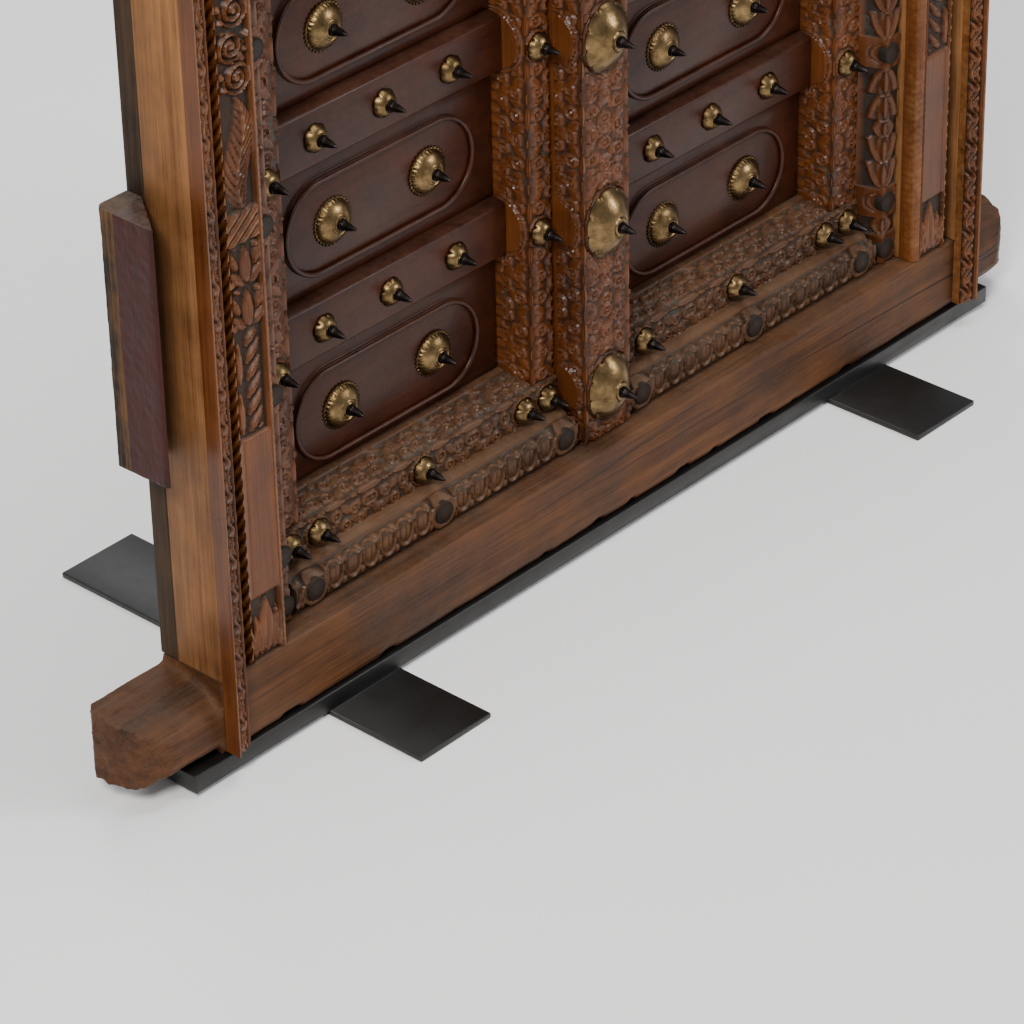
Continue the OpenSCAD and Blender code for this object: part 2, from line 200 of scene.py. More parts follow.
# %% The grain group
def make_grain():
    group, takes, gives = new_group(
        "wood_grain",
        [("Along the grain", "v", None), ("Unstretched", "v", None),
         ("Dark", "c", (0.05, 0.03, 0.02, 1)), ("Light", "c", (0.3, 0.2, 0.1, 1)),
         ("Contrast", "f", 1.0)],
        [("Color", "c"), ("Height", "f"), ("Rough", "f")])
    fibre = noise(group, takes["Along the grain"], 420, 5, 0.65)
    streak = noise(group, takes["Along the grain"], 90, 4, 0.6)
    band = noise(group, takes["Along the grain"], 22, 3, 0.5)
    stain = noise(group, takes["Unstretched"], 7, 5, 0.6)
    speck = noise(group, takes["Unstretched"], 700, 2, 0.7)
    total = maths(group, "MULTIPLY", fibre, 0.26)
    for layer, share in ((streak, 0.26), (band, 0.22), (stain, 0.46)):
        total = maths(group, "ADD", total, maths(group, "MULTIPLY", layer, share))
    total = maths(group, "SUBTRACT", total, 0.6)
    total = maths(group, "MULTIPLY", total, takes["Contrast"])
    spread = maths(group, "ADD", maths(group, "MULTIPLY", total, 3.4), 0.5, clamp=True)
    colour = blend_colour(group, spread, takes["Dark"], takes["Light"])
    pore = steps(group, fibre, 0.40, 0.33)
    colour = blend_colour(group, maths(group, "MULTIPLY", pore, 0.45), colour, takes["Dark"])
    link(group, colour, gives["Color"])
    height = maths(group, "ADD", maths(group, "MULTIPLY", fibre, 0.6),
                   maths(group, "MULTIPLY", streak, 0.7))
    height = maths(group, "ADD", height, maths(group, "MULTIPLY", speck, 0.12))
    link(group, height, gives["Height"])
    link(group, maths(group, "ADD", maths(group, "MULTIPLY", stain, 0.5), -0.25), gives["Rough"])
    return group


grain_group = make_grain()
print("made", grain_group.name)

# %% [markdown]
# Age works by height: the hollows of the carving are darkened towards black, painted shade with
# some dirt, and they hold the last of a blue-green paint, while the tops are rubbed bright. Each
# piece carries an attribute named relief, 1 on untouched stock and 0 at the bottom of the cuts.
# Dust lies on whatever looks up.


# %% The age group, with painted shade in the hollows
def make_age_and_shade():
    group, takes, gives = new_group(
        "age",
        [("Color", "c", None), ("Relief", "f", 1.0), ("Up", "f", 0.0), ("Unstretched", "v", None),
         ("Dirt", "f", 0.8), ("Patina", "f", 0.0), ("Dust", "f", 0.4), ("Wear", "f", 0.3),
         ("Rubbed", "c", (0.5, 0.3, 0.15, 1))],
        [("Color", "c"), ("Rough", "f")])
    cloud = noise(group, takes["Unstretched"], 16, 4, 0.6)
    fine = noise(group, takes["Unstretched"], 120, 4, 0.65)
    # painted shade: the lower the relief, the nearer to black the colour goes, for the shade in the
    # cuts and some dirt
    hollow = steps(group, takes["Relief"], 0.55, 0.12)
    dirt_and_shade = maths(group, "MULTIPLY", hollow, takes["Dirt"])
    colour = blend_colour(group, dirt_and_shade, takes["Color"], (0.012, 0.007, 0.004, 1))
    paint = maths(group, "MULTIPLY", hollow, steps(group, cloud, 0.50, 0.66))
    paint = maths(group, "MULTIPLY", paint, steps(group, fine, 0.38, 0.6))
    paint = maths(group, "MULTIPLY", paint, takes["Patina"])
    colour = blend_colour(group, paint, colour, (0.060, 0.082, 0.072, 1))
    rubbed = maths(group, "MULTIPLY", steps(group, takes["Relief"], 0.80, 1.0),
                   steps(group, maths(group, "ADD", fine, cloud), 0.80, 1.30))
    rubbed = maths(group, "MULTIPLY", rubbed, takes["Wear"])
    colour = blend_colour(group, rubbed, colour, takes["Rubbed"])
    lying = maths(group, "MULTIPLY", steps(group, takes["Up"], 0.25, 0.95),
                  steps(group, maths(group, "ADD", cloud, fine), 0.62, 1.3))
    lying = maths(group, "MULTIPLY", lying, takes["Dust"])
    colour = blend_colour(group, lying, colour, (0.13, 0.10, 0.078, 1))
    link(group, colour, gives["Color"])
    rough = maths(group, "MULTIPLY", maths(group, "ADD", lying, hollow), 0.35)
    rough = maths(group, "SUBTRACT", rough, maths(group, "MULTIPLY", rubbed, 0.2))
    link(group, rough, gives["Rough"])
    return group


age_and_shade_group = make_age_and_shade()
print("made", age_and_shade_group.name)

# %% [markdown]
# Thick timber splits as it dries. The cracks are thin, long and dark, and they follow the grain.
# Modelling each would be slow, so the edges of a cell pattern, stretched along the grain and bent a
# little, are kept only where a second, slower pattern allows them.


# %% The crack group
def make_cracks():
    group, takes, gives = new_group(
        "drying_cracks", [("Along the grain", "v", None), ("Amount", "f", 0.5)], [("Crack", "f")])
    bend = noise(group, takes["Along the grain"], 9, 3, 0.5)
    cell = add_node(group, "ShaderNodeTexVoronoi", (-300, 0), feature="DISTANCE_TO_EDGE",
                    Scale=13.0)
    lean = group.nodes.new("ShaderNodeVectorMath")
    lean.operation = "ADD"
    link(group, takes["Along the grain"], lean.inputs[0])
    link(group, maths(group, "MULTIPLY", bend, 0.09), lean.inputs[1])
    link(group, lean.outputs[0], cell.inputs["Vector"])
    thin = steps(group, cell.outputs["Distance"], 0.022, 0.004)
    some = steps(group, noise(group, takes["Along the grain"], 14, 2, 0.5), 0.50, 0.60)
    crack = maths(group, "MULTIPLY", maths(group, "MULTIPLY", thin, some), takes["Amount"])
    link(group, crack, gives["Crack"])
    return group


crack_group = make_cracks()
print("made", crack_group.name)

# %% [markdown]
# Each finish starts from the same few nodes: a shader, and the direction a surface looks in, for
# the dust. Colours are given as they look on a screen, which is easier to judge than raw light.


# %% Start a material
def colour(red, green, blue):
    """A colour given as on a screen, 0 to 255, turned into light."""
    return tuple((c / 255) ** 2.2 for c in (red, green, blue)) + (1.0,)


def start_material(name):
    material = bpy.data.materials.new(name)
    material.use_nodes = True
    tree = material.node_tree
    tree.nodes.clear()
    output = add_node(tree, "ShaderNodeOutputMaterial", (900, 0))
    shader = add_node(tree, "ShaderNodeBsdfPrincipled", (600, 0))
    link(tree, shader.outputs[0], output.inputs[0])
    return material, tree, shader


def upward(tree):
    geometry = tree.nodes.new("ShaderNodeNewGeometry")
    parts = tree.nodes.new("ShaderNodeSeparateXYZ")
    link(tree, geometry.outputs["Normal"], parts.inputs[0])
    return parts.outputs["Z"]


print("materials can be started")

# %% [markdown]
# A wooden finish is grain, then cracks, then age with painted shade in the hollows, one group after
# the other. The wood has been oiled for generations, so its colours are deepened here, once for all
# the finishes, and the carved pieces that hands touch carry a thin coat. Mirror light is held low,
# because old oil is dull.

# %% Build a wooden finish
WOOD_SHADE, RUBBED_SHADE = 0.72, 0.78   # how far the wood has darkened
COAT_SHARE, OLD_OIL_GLOSS = 0.45, 0.22
ALONG_GRAIN = 0.022                     # the grain is this much slower along the piece


def wood(name, dark, light, along, rubbed=(176, 124, 78), contrast=1.0, dirt_and_shade=0.8, patina=0.0,
         dust=0.4, wear=0.3, rough=0.55, bump=0.5, coat=0.0, cracks=0.0):
    material, tree, shader = start_material(name)
    place = tree.nodes.new("ShaderNodeTexCoord").outputs["Object"]
    stretch = add_node(tree, "ShaderNodeMapping", (-900, 0))
    stretch.inputs["Scale"].default_value = [ALONG_GRAIN if axis == along else 1
                                            for axis in "XYZ"]
    link(tree, place, stretch.inputs["Vector"])
    grain = add_node(tree, "ShaderNodeGroup", (-500, 0), node_tree=grain_group)
    link(tree, stretch.outputs[0], grain.inputs["Along the grain"])
    link(tree, place, grain.inputs["Unstretched"])
    grain.inputs["Dark"].default_value = colour(*(c * WOOD_SHADE for c in dark))
    grain.inputs["Light"].default_value = colour(*(c * WOOD_SHADE for c in light))
    grain.inputs["Contrast"].default_value = contrast
    age = add_node(tree, "ShaderNodeGroup", (0, 0), node_tree=age_and_shade_group)
    split = add_node(tree, "ShaderNodeGroup", (-300, 200), node_tree=crack_group)
    link(tree, stretch.outputs[0], split.inputs["Along the grain"])
    split.inputs["Amount"].default_value = cracks
    cracked = blend_colour(tree, split.outputs["Crack"], grain.outputs["Color"],
                           (0.006, 0.004, 0.003, 1))
    link(tree, cracked, age.inputs["Color"])
    link(tree, place, age.inputs["Unstretched"])
    relief = add_node(tree, "ShaderNodeAttribute", (-500, -400), attribute_name="relief")
    link(tree, relief.outputs["Fac"], age.inputs["Relief"])
    link(tree, upward(tree), age.inputs["Up"])
    for key, value in (("Dirt", dirt_and_shade), ("Patina", patina), ("Dust", dust), ("Wear", wear)):
        age.inputs[key].default_value = value
    age.inputs["Rubbed"].default_value = colour(*(c * RUBBED_SHADE for c in rubbed))
    link(tree, age.outputs["Color"], shader.inputs["Base Color"])
    total = maths(tree, "ADD", maths(tree, "ADD", grain.outputs["Rough"], age.outputs["Rough"]),
                  rough, clamp=True)
    link(tree, total, shader.inputs["Roughness"])
    relief_bump = add_node(tree, "ShaderNodeBump", (300, -300), Strength=bump, Distance=0.0012)
    sunk = maths(tree, "SUBTRACT", grain.outputs["Height"],
                 maths(tree, "MULTIPLY", split.outputs["Crack"], 1.2))
    link(tree, sunk, relief_bump.inputs["Height"])
    link(tree, relief_bump.outputs[0], shader.inputs["Normal"])
    shader.inputs["Specular IOR Level"].default_value = OLD_OIL_GLOSS
    shader.inputs["Coat Weight"].default_value = coat * COAT_SHARE
    shader.inputs["Coat Roughness"].default_value = 0.3
    return material


print("wood can be built")

# %% [markdown]
# The finishes differ as the real timbers do. Sill and jambs are plain, dry and cracked, the carved
# pieces are darker in their cuts and rubbed on top, the panels are almost black-brown, and the
# backs, which nobody oils, have gone grey.

# %% The wooden finishes
finish = {
    "sill": wood("sill_wood", (48, 27, 15), (134, 86, 50), "X", dust=0.3, rough=0.56,
                 contrast=1.1, bump=0.8, wear=0, cracks=0.9),
    "jamb": wood("jamb_wood", (106, 66, 36), (204, 142, 88), "Z", rough=0.6, dust=0.4, bump=0.7,
                 wear=0, cracks=0.5),
    "strip": wood("strip_wood", (76, 40, 20), (150, 88, 45), "Z", rubbed=(206, 148, 92), dirt_and_shade=0.85,
                  patina=0.2, wear=0.6, rough=0.34, coat=0.25, bump=0.4),
    "post": wood("post_wood", (74, 39, 20), (146, 84, 43), "Z", rubbed=(170, 108, 62), dirt_and_shade=0.62,
                 patina=0.5, wear=0.5, rough=0.32, coat=0.3, bump=0.35),
    "tier": wood("tier_wood", (66, 39, 22), (128, 82, 46), "X", rubbed=(156, 108, 68), dirt_and_shade=0.8,
                 patina=0.7, dust=0.35, wear=0.5, rough=0.38, coat=0.2, bump=0.35),
    "batten_up": wood("batten_upright_wood", (70, 38, 21), (138, 82, 46), "Z",
                      rubbed=(140, 94, 60), dirt_and_shade=0.95, patina=0.5, wear=0.5, rough=0.3, coat=0.35,
                      bump=0.35),
    "batten": wood("batten_wood", (68, 43, 27), (132, 90, 57), "X", rubbed=(140, 104, 74),
                   dirt_and_shade=0.85, patina=0.5, dust=0.35, wear=0.4, rough=0.4, coat=0.15, bump=0.4),
    "panel": wood("panel_wood", (34, 15, 8), (86, 43, 25), "X", rubbed=(120, 68, 42), dust=0.12,
                  wear=0.2, rough=0.36, contrast=0.85, bump=0.3, coat=0.15),
    "grey": wood("weathered_wood", (46, 34, 25), (106, 82, 60), "Z", dust=0.3, rough=0.75,
                 bump=1.0, contrast=1.2, wear=0, cracks=1.0),
    "dark_strip": wood("rope_wood", (36, 22, 15), (76, 48, 31), "Z", dirt_and_shade=0.9, wear=0.2,
                       rough=0.45),
    "anchor": wood("anchor_wood", (38, 12, 8), (92, 34, 24), "Z", rubbed=(90, 60, 44), dust=0.9,
                   rough=0.42, contrast=0.9, bump=0.5, wear=0),
    "anchor_back": wood("anchor_back_wood", (30, 20, 13), (140, 98, 58), "Z", dust=0.9, rough=0.6,
                        contrast=1.9, bump=0.8, wear=0, cracks=0.8),
    "peg": wood("peg_wood", (26, 17, 13), (60, 42, 31), "Y", rubbed=(96, 72, 54), dust=0.2,
                rough=0.5, wear=0.4),
}
print("wooden finishes", len(finish))

# %% [markdown]
# ## Metal
# The bosses are beaten brass: warm, brushed by hands on top and dark where nobody reaches. The
# spikes are forged iron, and the stand is flat steel under black paint. All three show the same
# thing, cloudy handling marks over a grain of small dents, so they share one group and differ in
# its numbers.


# %% The metal group
def make_metal():
    group, takes, gives = new_group(
        "handled_metal",
        [("Place", "v", None), ("Relief", "f", 1.0), ("Dark", "c", (0.01, 0.01, 0.01, 1)),
         ("Light", "c", (0.3, 0.2, 0.1, 1)), ("Scale", "f", 60.0), ("Dents", "f", 0.0),
         ("Rough", "f", 0.4), ("Spread", "f", 0.2)],
        [("Color", "c"), ("Rough", "f"), ("Height", "f")])
    cloud = noise(group, takes["Place"], takes["Scale"], 5, 0.65)
    fine = noise(group, takes["Place"], maths(group, "MULTIPLY", takes["Scale"], 12), 3, 0.6)
    hammer = noise(group, takes["Place"], 130, 2, 0.5)
    tone = maths(group, "ADD", maths(group, "MULTIPLY", cloud, 0.9),
                 maths(group, "MULTIPLY", fine, 0.35))
    tone = maths(group, "MULTIPLY", steps(group, tone, 0.36, 0.90),
                 steps(group, takes["Relief"], -0.15, 0.6), clamp=True)
    link(group, blend_colour(group, tone, takes["Dark"], takes["Light"]), gives["Color"])
    # bright metal is polished, dark metal is rough
    duller = maths(group, "MULTIPLY", maths(group, "SUBTRACT", 0.5, tone), takes["Spread"])
    link(group, maths(group, "ADD", takes["Rough"], duller), gives["Rough"])
    height = maths(group, "ADD", maths(group, "MULTIPLY", fine, 0.3),
                   maths(group, "MULTIPLY", hammer, takes["Dents"]))
    link(group, height, gives["Height"])
    return group


metal_group = make_metal()
print("made", metal_group.name)


# %% Build the metal finishes
def metal(name, dark, light, rough, spread, metallic=1.0, scale=60.0, bump=0.25, dents=0.0):
    material, tree, shader = start_material(name)
    place = tree.nodes.new("ShaderNodeTexCoord").outputs["Object"]
    relief = add_node(tree, "ShaderNodeAttribute", (-500, -400), attribute_name="relief")
    worked = add_node(tree, "ShaderNodeGroup", (-200, 0), node_tree=metal_group)
    for key, value in (("Place", place), ("Relief", relief.outputs["Fac"]),
                       ("Dark", colour(*dark)), ("Light", colour(*light)), ("Scale", scale),
                       ("Dents", dents), ("Rough", rough), ("Spread", spread)):
        feed(tree, worked.inputs[key], value)
    link(tree, worked.outputs["Color"], shader.inputs["Base Color"])
    link(tree, worked.outputs["Rough"], shader.inputs["Roughness"])
    shader.inputs["Metallic"].default_value = metallic
    node = add_node(tree, "ShaderNodeBump", (300, -300), Strength=bump, Distance=0.002)
    link(tree, worked.outputs["Height"], node.inputs["Height"])
    link(tree, node.outputs[0], shader.inputs["Normal"])
    return material


finish["brass"] = metal("beaten_brass", (44, 31, 20), (150, 124, 86), 0.33, 0.2, dents=0.6)
finish["iron"] = metal("forged_iron", (24, 20, 20), (66, 60, 58), 0.42, 0.2, scale=110, dents=0.6)
finish["steel"] = metal("painted_steel", (10, 9, 9), (24, 22, 21), 0.42, 0.22, metallic=0.0,
                        scale=24, bump=0.12)
print("finishes", len(finish))

# %% [markdown]
# ## Making a carved bar
# Most of the door is long stock with one section: posts, strips, battens and tiers. A carver cuts
# the pattern into the outer faces and leaves the rest. So a bar here is a grid wrapped round its
# section and drawn out along its length. Its carved faces get fine steps, and a pattern function
# says how much of the stock is left at each point. Sculpting by hand would give the same surface,
# but a function keeps hundreds of leaves alike and puts them exactly between the bosses.


# %% Selection and hand-over helpers
def clear_selection():
    for obj in bpy.context.selected_objects:
        obj.select_set(False)


def only(obj):
    clear_selection()
    obj.select_set(True)
    bpy.context.view_layer.objects.active = obj
    return obj


def set_relief(obj, values):
    attribute = obj.data.attributes.get("relief") or obj.data.attributes.new(
        "relief", "FLOAT", "POINT")
    attribute.data.foreach_set("value", np.asarray(values, np.float32))


def smooth(obj, degrees=35):
    only(obj)
    bpy.ops.object.shade_smooth_by_angle(angle=math.radians(degrees))


def edit_all(obj):
    only(obj)
    bpy.ops.object.mode_set(mode="EDIT")
    bpy.ops.mesh.select_all(action="SELECT")


def close_skin(obj):
    """Joins the seam of a wrapped grid, closes its ends and turns its faces outwards."""
    edit_all(obj)
    bpy.ops.mesh.remove_doubles(threshold=0.00002)
    bpy.ops.mesh.select_all(action="SELECT")
    bpy.ops.mesh.fill_holes(sides=0)
    bpy.ops.mesh.select_all(action="SELECT")
    bpy.ops.mesh.normals_make_consistent(inside=False)
    bpy.ops.object.mode_set(mode="OBJECT")


print("helpers for selecting and closing ready")


# %% Hand a piece over
def finish_piece(obj, node, material, name=None):
    """Names the piece, paints it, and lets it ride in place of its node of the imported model."""
    obj.name = name or node + "_piece"
    obj.data.name = obj.name
    obj.data.materials.clear()
    obj.data.materials.append(finish[material])
    if "relief" not in obj.data.attributes:
        set_relief(obj, np.ones(len(obj.data.vertices)))
    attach(obj, body_of[node])
    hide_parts(node)
    return obj


def join(objects):
    clear_selection()
    for obj in objects:
        obj.select_set(True)
    bpy.context.view_layer.objects.active = objects[0]
    bpy.ops.object.join()
    return objects[0]


print("pieces can be handed over")

# %% [markdown]
# Where two carved faces meet, the corner point has to move back along the mitre, or the two cuts
# would part. So each point of the section carries its own direction, and its length is a little
# over 1 at a mitre. Points at the edge of a plain face slide along that face and keep it flat.


# %% The section's points
def section_points(section, fine):
    """Points round a closed section. Each corner is (a, y, carved), and carved tells if the side
    that starts there gets fine steps. Returns the points and the way each one is cut back."""
    count = len(section)
    area = sum(section[i][0] * section[(i + 1) % count][1]
               - section[(i + 1) % count][0] * section[i][1] for i in range(count))
    turn = 1 if area > 0 else -1

    def outward(i):
        a, b = section[i % count], section[(i + 1) % count]
        length = math.hypot(b[0] - a[0], b[1] - a[1])
        return np.array([b[1] - a[1], a[0] - b[0]]) / length * turn

    points, normals = [], []
    for i, (a, y, carved) in enumerate(section):
        b, z, _ = section[(i + 1) % count]
        before, after = outward(i - 1), outward(i)
        if section[i - 1][2] and carved:
            normal = (before + after) / (1 + before @ after)
        else:
            normal = before * section[i - 1][2] + after * carved
        parts = max(1, round(math.hypot(b - a, z - y) / fine)) if carved else 1
        for k in range(parts):
            points.append((a + (b - a) * k / parts, y + (z - y) * k / parts))
            normals.append(normal if k == 0 else after)
    return np.array(points), np.array(normals)


print("sections can be divided")


# %% The carved bar
def carved_bar(section, start, stop, along, pattern, depth, fine=2.4 * MM, step=2.4 * MM,
               mirror=False):
    """A bar from start to stop along X or Z. pattern(a, y, way) takes millimetres and returns the
    share of the stock that is left: 1 on the surface, 0 at the full depth."""
    points, normals = section_points(section, fine)
    rows = max(2, round((stop - start) / step))
    clear_selection()
    bpy.ops.mesh.primitive_grid_add(x_subdivisions=len(points), y_subdivisions=rows, size=1)
    obj = bpy.context.object
    mesh = obj.data
    co = np.zeros(len(mesh.vertices) * 3, np.float32)
    mesh.vertices.foreach_get("co", co)
    co = co.reshape(-1, 3).astype(float)
    # the last column meets the first one and closes the loop
    column = np.round((co[:, 0] + 0.5) * len(points)).astype(int) % len(points)
    way = (co[:, 1] + 0.5) * (stop - start)
    at, normal = points[column], normals[column]
    left = np.clip(pattern(at[:, 0] / MM, at[:, 1] / MM, way / MM), 0, 1)
    moved = at - normal * ((1 - left) * depth)[:, None]
    # plain sides are neither hollow nor rubbed
    left = np.where(np.abs(normal).sum(1) > 0, left, 0.78)
    if along == "Z":
        co = np.stack([moved[:, 0], moved[:, 1], way + start], 1)
    else:
        co = np.stack([way + start, moved[:, 1], moved[:, 0]], 1)
    if mirror:
        co[:, 0] *= -1
    mesh.vertices.foreach_set("co", co.astype(np.float32).ravel())
    set_relief(obj, left)
    close_skin(obj)
    smooth(obj, 40)
    return obj


print("bars can be carved")


# %% [markdown]
# The patterns are built from a few strokes a carver also uses: a leaf with a vein, a round bead, a
# ring, and a plain field left standing. They are joined by taking the highest at each point. Each
# stroke takes places in millimetres and gives back a height between 0 and 1.


# %% Carving strokes
def leaf(x, y, x0, y0, degrees, length, width, vein=0.4):
    c, s = math.cos(math.radians(degrees)), math.sin(math.radians(degrees))
    way = (x - x0) * c + (y - y0) * s
    off = -(x - x0) * s + (y - y0) * c
    share = np.clip(way / length, 0, 1)
    half = width / 2 * np.sin(np.pi * share ** 0.8) + 1e-6
    body = np.sqrt(np.clip(1 - (off / half) ** 2, 0, 1)) * ((way > 0) & (way < length))
    return body * (1 - vein * np.exp(-((off / (0.1 * width)) ** 2)))


def bead(x, y, x0, y0, radius):
    return np.sqrt(np.clip(1 - ((x - x0) ** 2 + (y - y0) ** 2) / radius ** 2, 0, 1))


def ring(x, y, x0, y0, radius, width):
    off = np.abs(np.hypot(x - x0, y - y0) - radius)
    return np.sqrt(np.clip(1 - (off / width) ** 2, 0, 1))


def highest(first, *others):
    for other in others:
        first = np.maximum(first, other)
    return first


def rise(value, low_at, high_at):
    t = np.clip((value - low_at) / (high_at - low_at), 0, 1)
    return t * t * (3 - 2 * t)


def wobble(a, b, size, seed, waves=5):
    """Slow, seeded unevenness between -1 and 1."""
    lanes = np.random.default_rng(seed)
    total = 0
    for _ in range(waves):
        p, q = lanes.normal(0, 1 / size, 2)
        total = total + np.sin(a * p * 6 + b * q * 6 + lanes.uniform(0, 6.28))
    return total / waves


def gap_to(way, marks):
    """The distance along a bar from the nearest mark, such as a boss or a peg."""
    marks = np.asarray(marks)
    return way - marks[np.argmin(np.abs(way[:, None] - marks[None]), 1)]


print("strokes ready")

# %% [markdown]
# ## Posts and mullion
# The mullion covers the line where the leaves meet. Its sprays of leaves open both ways from each
# arris, over the front and the flank. At each boss the front keeps a flat seat for the brass and
# the flank a plain half moon with a thin rim. The posts beside it carry the same pattern.
#
# One repeat of the spray is drawn as a list of leaves and rings. It is mirrored over the
# arris and repeated away from each boss, as the carver did with one template.


# %% The leaf spray
def sprig(x, y, scale):
    """One repeat of the leaf spray: x is the distance from its axis, y runs 0 to 66."""
    x = x / scale
    # on the axis: a long pointed leaf, and a bud that hangs above it
    field = highest(leaf(x, y, 0, 0, 90, 42, 20, 0.45), leaf(x, y, 0, 66, -90, 22, 13),
                    bead(x, y, 0, 43.5, 4.2))
    # rings, each round a berry
    for x0, y0, radius in ((20, 20, 7.6), (21, 53, 7.0), (41, 37, 7.2), (42, 3, 6.4),
                           (42, 69, 6.4)):
        field = highest(field, ring(x, y, x0, y0, radius, 3.0), bead(x, y, x0, y0, 3.6))
    # broad leaves that fill the ground between the rings
    for x0, y0, degrees, length, width in (
            (8, 30, 38, 26, 12), (10, 4, -8, 22, 10), (9, 40, 8, 16, 8), (29, 12, 10, 22, 11),
            (28, 28, -62, 18, 9), (30, 46, 40, 24, 11), (29, 60, -20, 18, 9), (48, 16, 60, 22, 11),
            (48, 48, 70, 20, 10), (14, 62, 40, 14, 8)):
        field = highest(field, leaf(x, y, x0, y0, degrees, length, width, 0.45))
    return highest(field, 0.2)


print("one repeat of the spray is drawn")

# %% Bosses, half moons and sprays
END_BOSS = 71.5 * MM    # from the outer edge of an end rail to its row of bosses
end_levels = [low("right_bottom_rail").z + END_BOSS, high("right_top_rail").z - END_BOSS]
boss_levels = (np.array([end_levels[0]] + rail_levels + [end_levels[1]]) - leaf_foot) / MM
POST_REPEAT, POST_SCALE = 66, 1.12


def spray(arris, front_y, middle, seat_x, seat_z, flank, both=False):
    """Leaf sprays that open either way from an arris. The flank gets a plain half moon at each
    boss level, and the front a flat seat for the boss."""
    def pattern(a, y, way):
        from_arris = np.abs(arris - np.abs(a) if both else a - arris)
        on_flank = y - front_y > 0.3
        x = np.where(on_flank, y - front_y, from_arris)
        gap = gap_to(way, boss_levels)
        field = sprig(x, np.mod(np.abs(gap) - 14, POST_REPEAT), POST_SCALE)
        far = np.where(on_flank, flank - x, 99)
        moon = np.hypot(far / (flank * 0.80), gap / (flank * 0.82))
        plain = highest(0.86 * (1 - rise(moon, 0.90, 0.93)), ring(moon, 0, 0, 0, 1, 0.055))
        field = np.where(moon < 1.10, highest(field * rise(moon, 1.04, 1.10), plain), field)
        seat = np.where(on_flank, 9, np.hypot((a - middle) / seat_x, gap / seat_z))
        field = np.where(seat < 1.1, highest(field * rise(seat, 1.04, 1.1),
                                             0.9 * (1 - rise(seat, 0.97, 1.0))), field)
        return field * 0.97 + 0.03 * wobble(a + y, way, 25, 5)
    return pattern


print("boss levels above the leaf's foot", [round(z) for z in boss_levels])


# %% Mullion and meeting posts
def upright(node, section, pattern, material, depth, start=None, stop=None):
    """A carved upright for the right side, or its mirror image if the node is on the left."""
    bar = carved_bar(section, leaf_foot if start is None else start,
                     leaf_head if stop is None else stop, "Z", pattern, depth * MM,
                     mirror=node.startswith("left"))
    return finish_piece(bar, node, material)


front = mullion_y
mullion = upright(
    "mullion", [(-half_mullion, post_y, True), (-half_mullion, front, True),
                (half_mullion, front, True), (half_mullion, post_y, False)],
    spray(half_mullion / MM, front / MM, 0, 40, 49, (post_y - front) / MM, both=True), "post", 5.5)
flank = (panel_edge_y - post_y) / MM
stile = upright("right_meeting_stile",
                [(-half_mullion, leaf_back, False), (-half_mullion, post_y, False),
                 (half_mullion, post_y, True), (panel_x0, post_y, True),
                 (panel_x0, panel_edge_y, False), (panel_x0, leaf_back, False)],
                spray(panel_x0 / MM, post_y / MM, 0, 1, 1, flank), "post", 5)
left_post = upright("left_meeting_post",
                    [(meet_x, leaf_back, False), (meet_x, post_y, True), (panel_x0, post_y, True),
                     (panel_x0, panel_edge_y, False), (panel_x0, leaf_back, False)],
                    spray(panel_x0 / MM, post_y / MM, (meet_x + panel_x0) / 2 / MM, 21.5, 21.5,
                          flank), "post", 5)
print("mullion", len(mullion.data.polygons), "faces, stile", len(stile.data.polygons),
      "faces, post", len(left_post.data.polygons))

# %% [markdown]
# A hinge post turns on its own axis, so its outer edge is a half circle. The curve has twelve short
# sides, which are smoothed over, and only the front and the flank are carved.

# %% Hinge posts
radius = (leaf_back - post_y) / 2
axis_x = leaf_x - radius
turned = [(axis_x + radius * math.sin(t), post_y + radius - radius * math.cos(t), False)
          for t in np.linspace(0, math.pi, 13)]
for side in ("left", "right"):
    upright(side + "_hinge_post",
            [(panel_x1, leaf_back, False), (panel_x1, panel_edge_y, True), (panel_x1, post_y, True),
             (batten_x, post_y, False)] + turned,
            spray(panel_x1 / MM, post_y / MM, (panel_x1 + batten_x) / 2 / MM, 21.5, 21.5, flank),
            "post", 5)
print("hinge posts turn at", round(axis_x, 4), "from the middle")

# %% [markdown]
# The pins that the hinge posts turn on are plain cylinders. They are made at their size and place
# and joined to the posts, because each post and its pins are one turned piece.

# %% Pivot pins
PIN_RADIUS, PIN_LAP = 14 * MM, 2 * MM    # the lap buries the joint in the post
for side, sign in (("left", -1), ("right", 1)):
    node = side + "_hinge_post"
    pins = [bpy.data.objects[node + "_piece"]]
    for foot, head in ((low(node).z, leaf_foot + PIN_LAP), (leaf_head - PIN_LAP, high(node).z)):
        clear_selection()
        bpy.ops.mesh.primitive_cylinder_add(
            vertices=48, radius=PIN_RADIUS, depth=head - foot,
            location=(sign * axis_x, post_y + radius, (foot + head) / 2))
        pin = bpy.context.object
        bpy.ops.object.transform_apply(location=True, rotation=True, scale=True)
        set_relief(pin, np.ones(len(pin.data.vertices)))
        pins.append(pin)
    join(pins)
print("pins joined to both hinge posts")

# %% [markdown]
# ## The carved frame
# The outer strip is a canted moulding with a running wave of leaves, cut deep enough to throw
# shadows. Behind it lies a groove with a twisted rope, and then the pilaster, whose pattern changes
# with height: spiky leaves at the foot, a plain board, a leaf cluster, chevron ribs, a plume and
# scrolls with berries.


# %% Outer strips
STRIP_WIDTH, STRIP_FRONT, DRAWN_WIDTH, WAVE = 30, 27, 29, 48


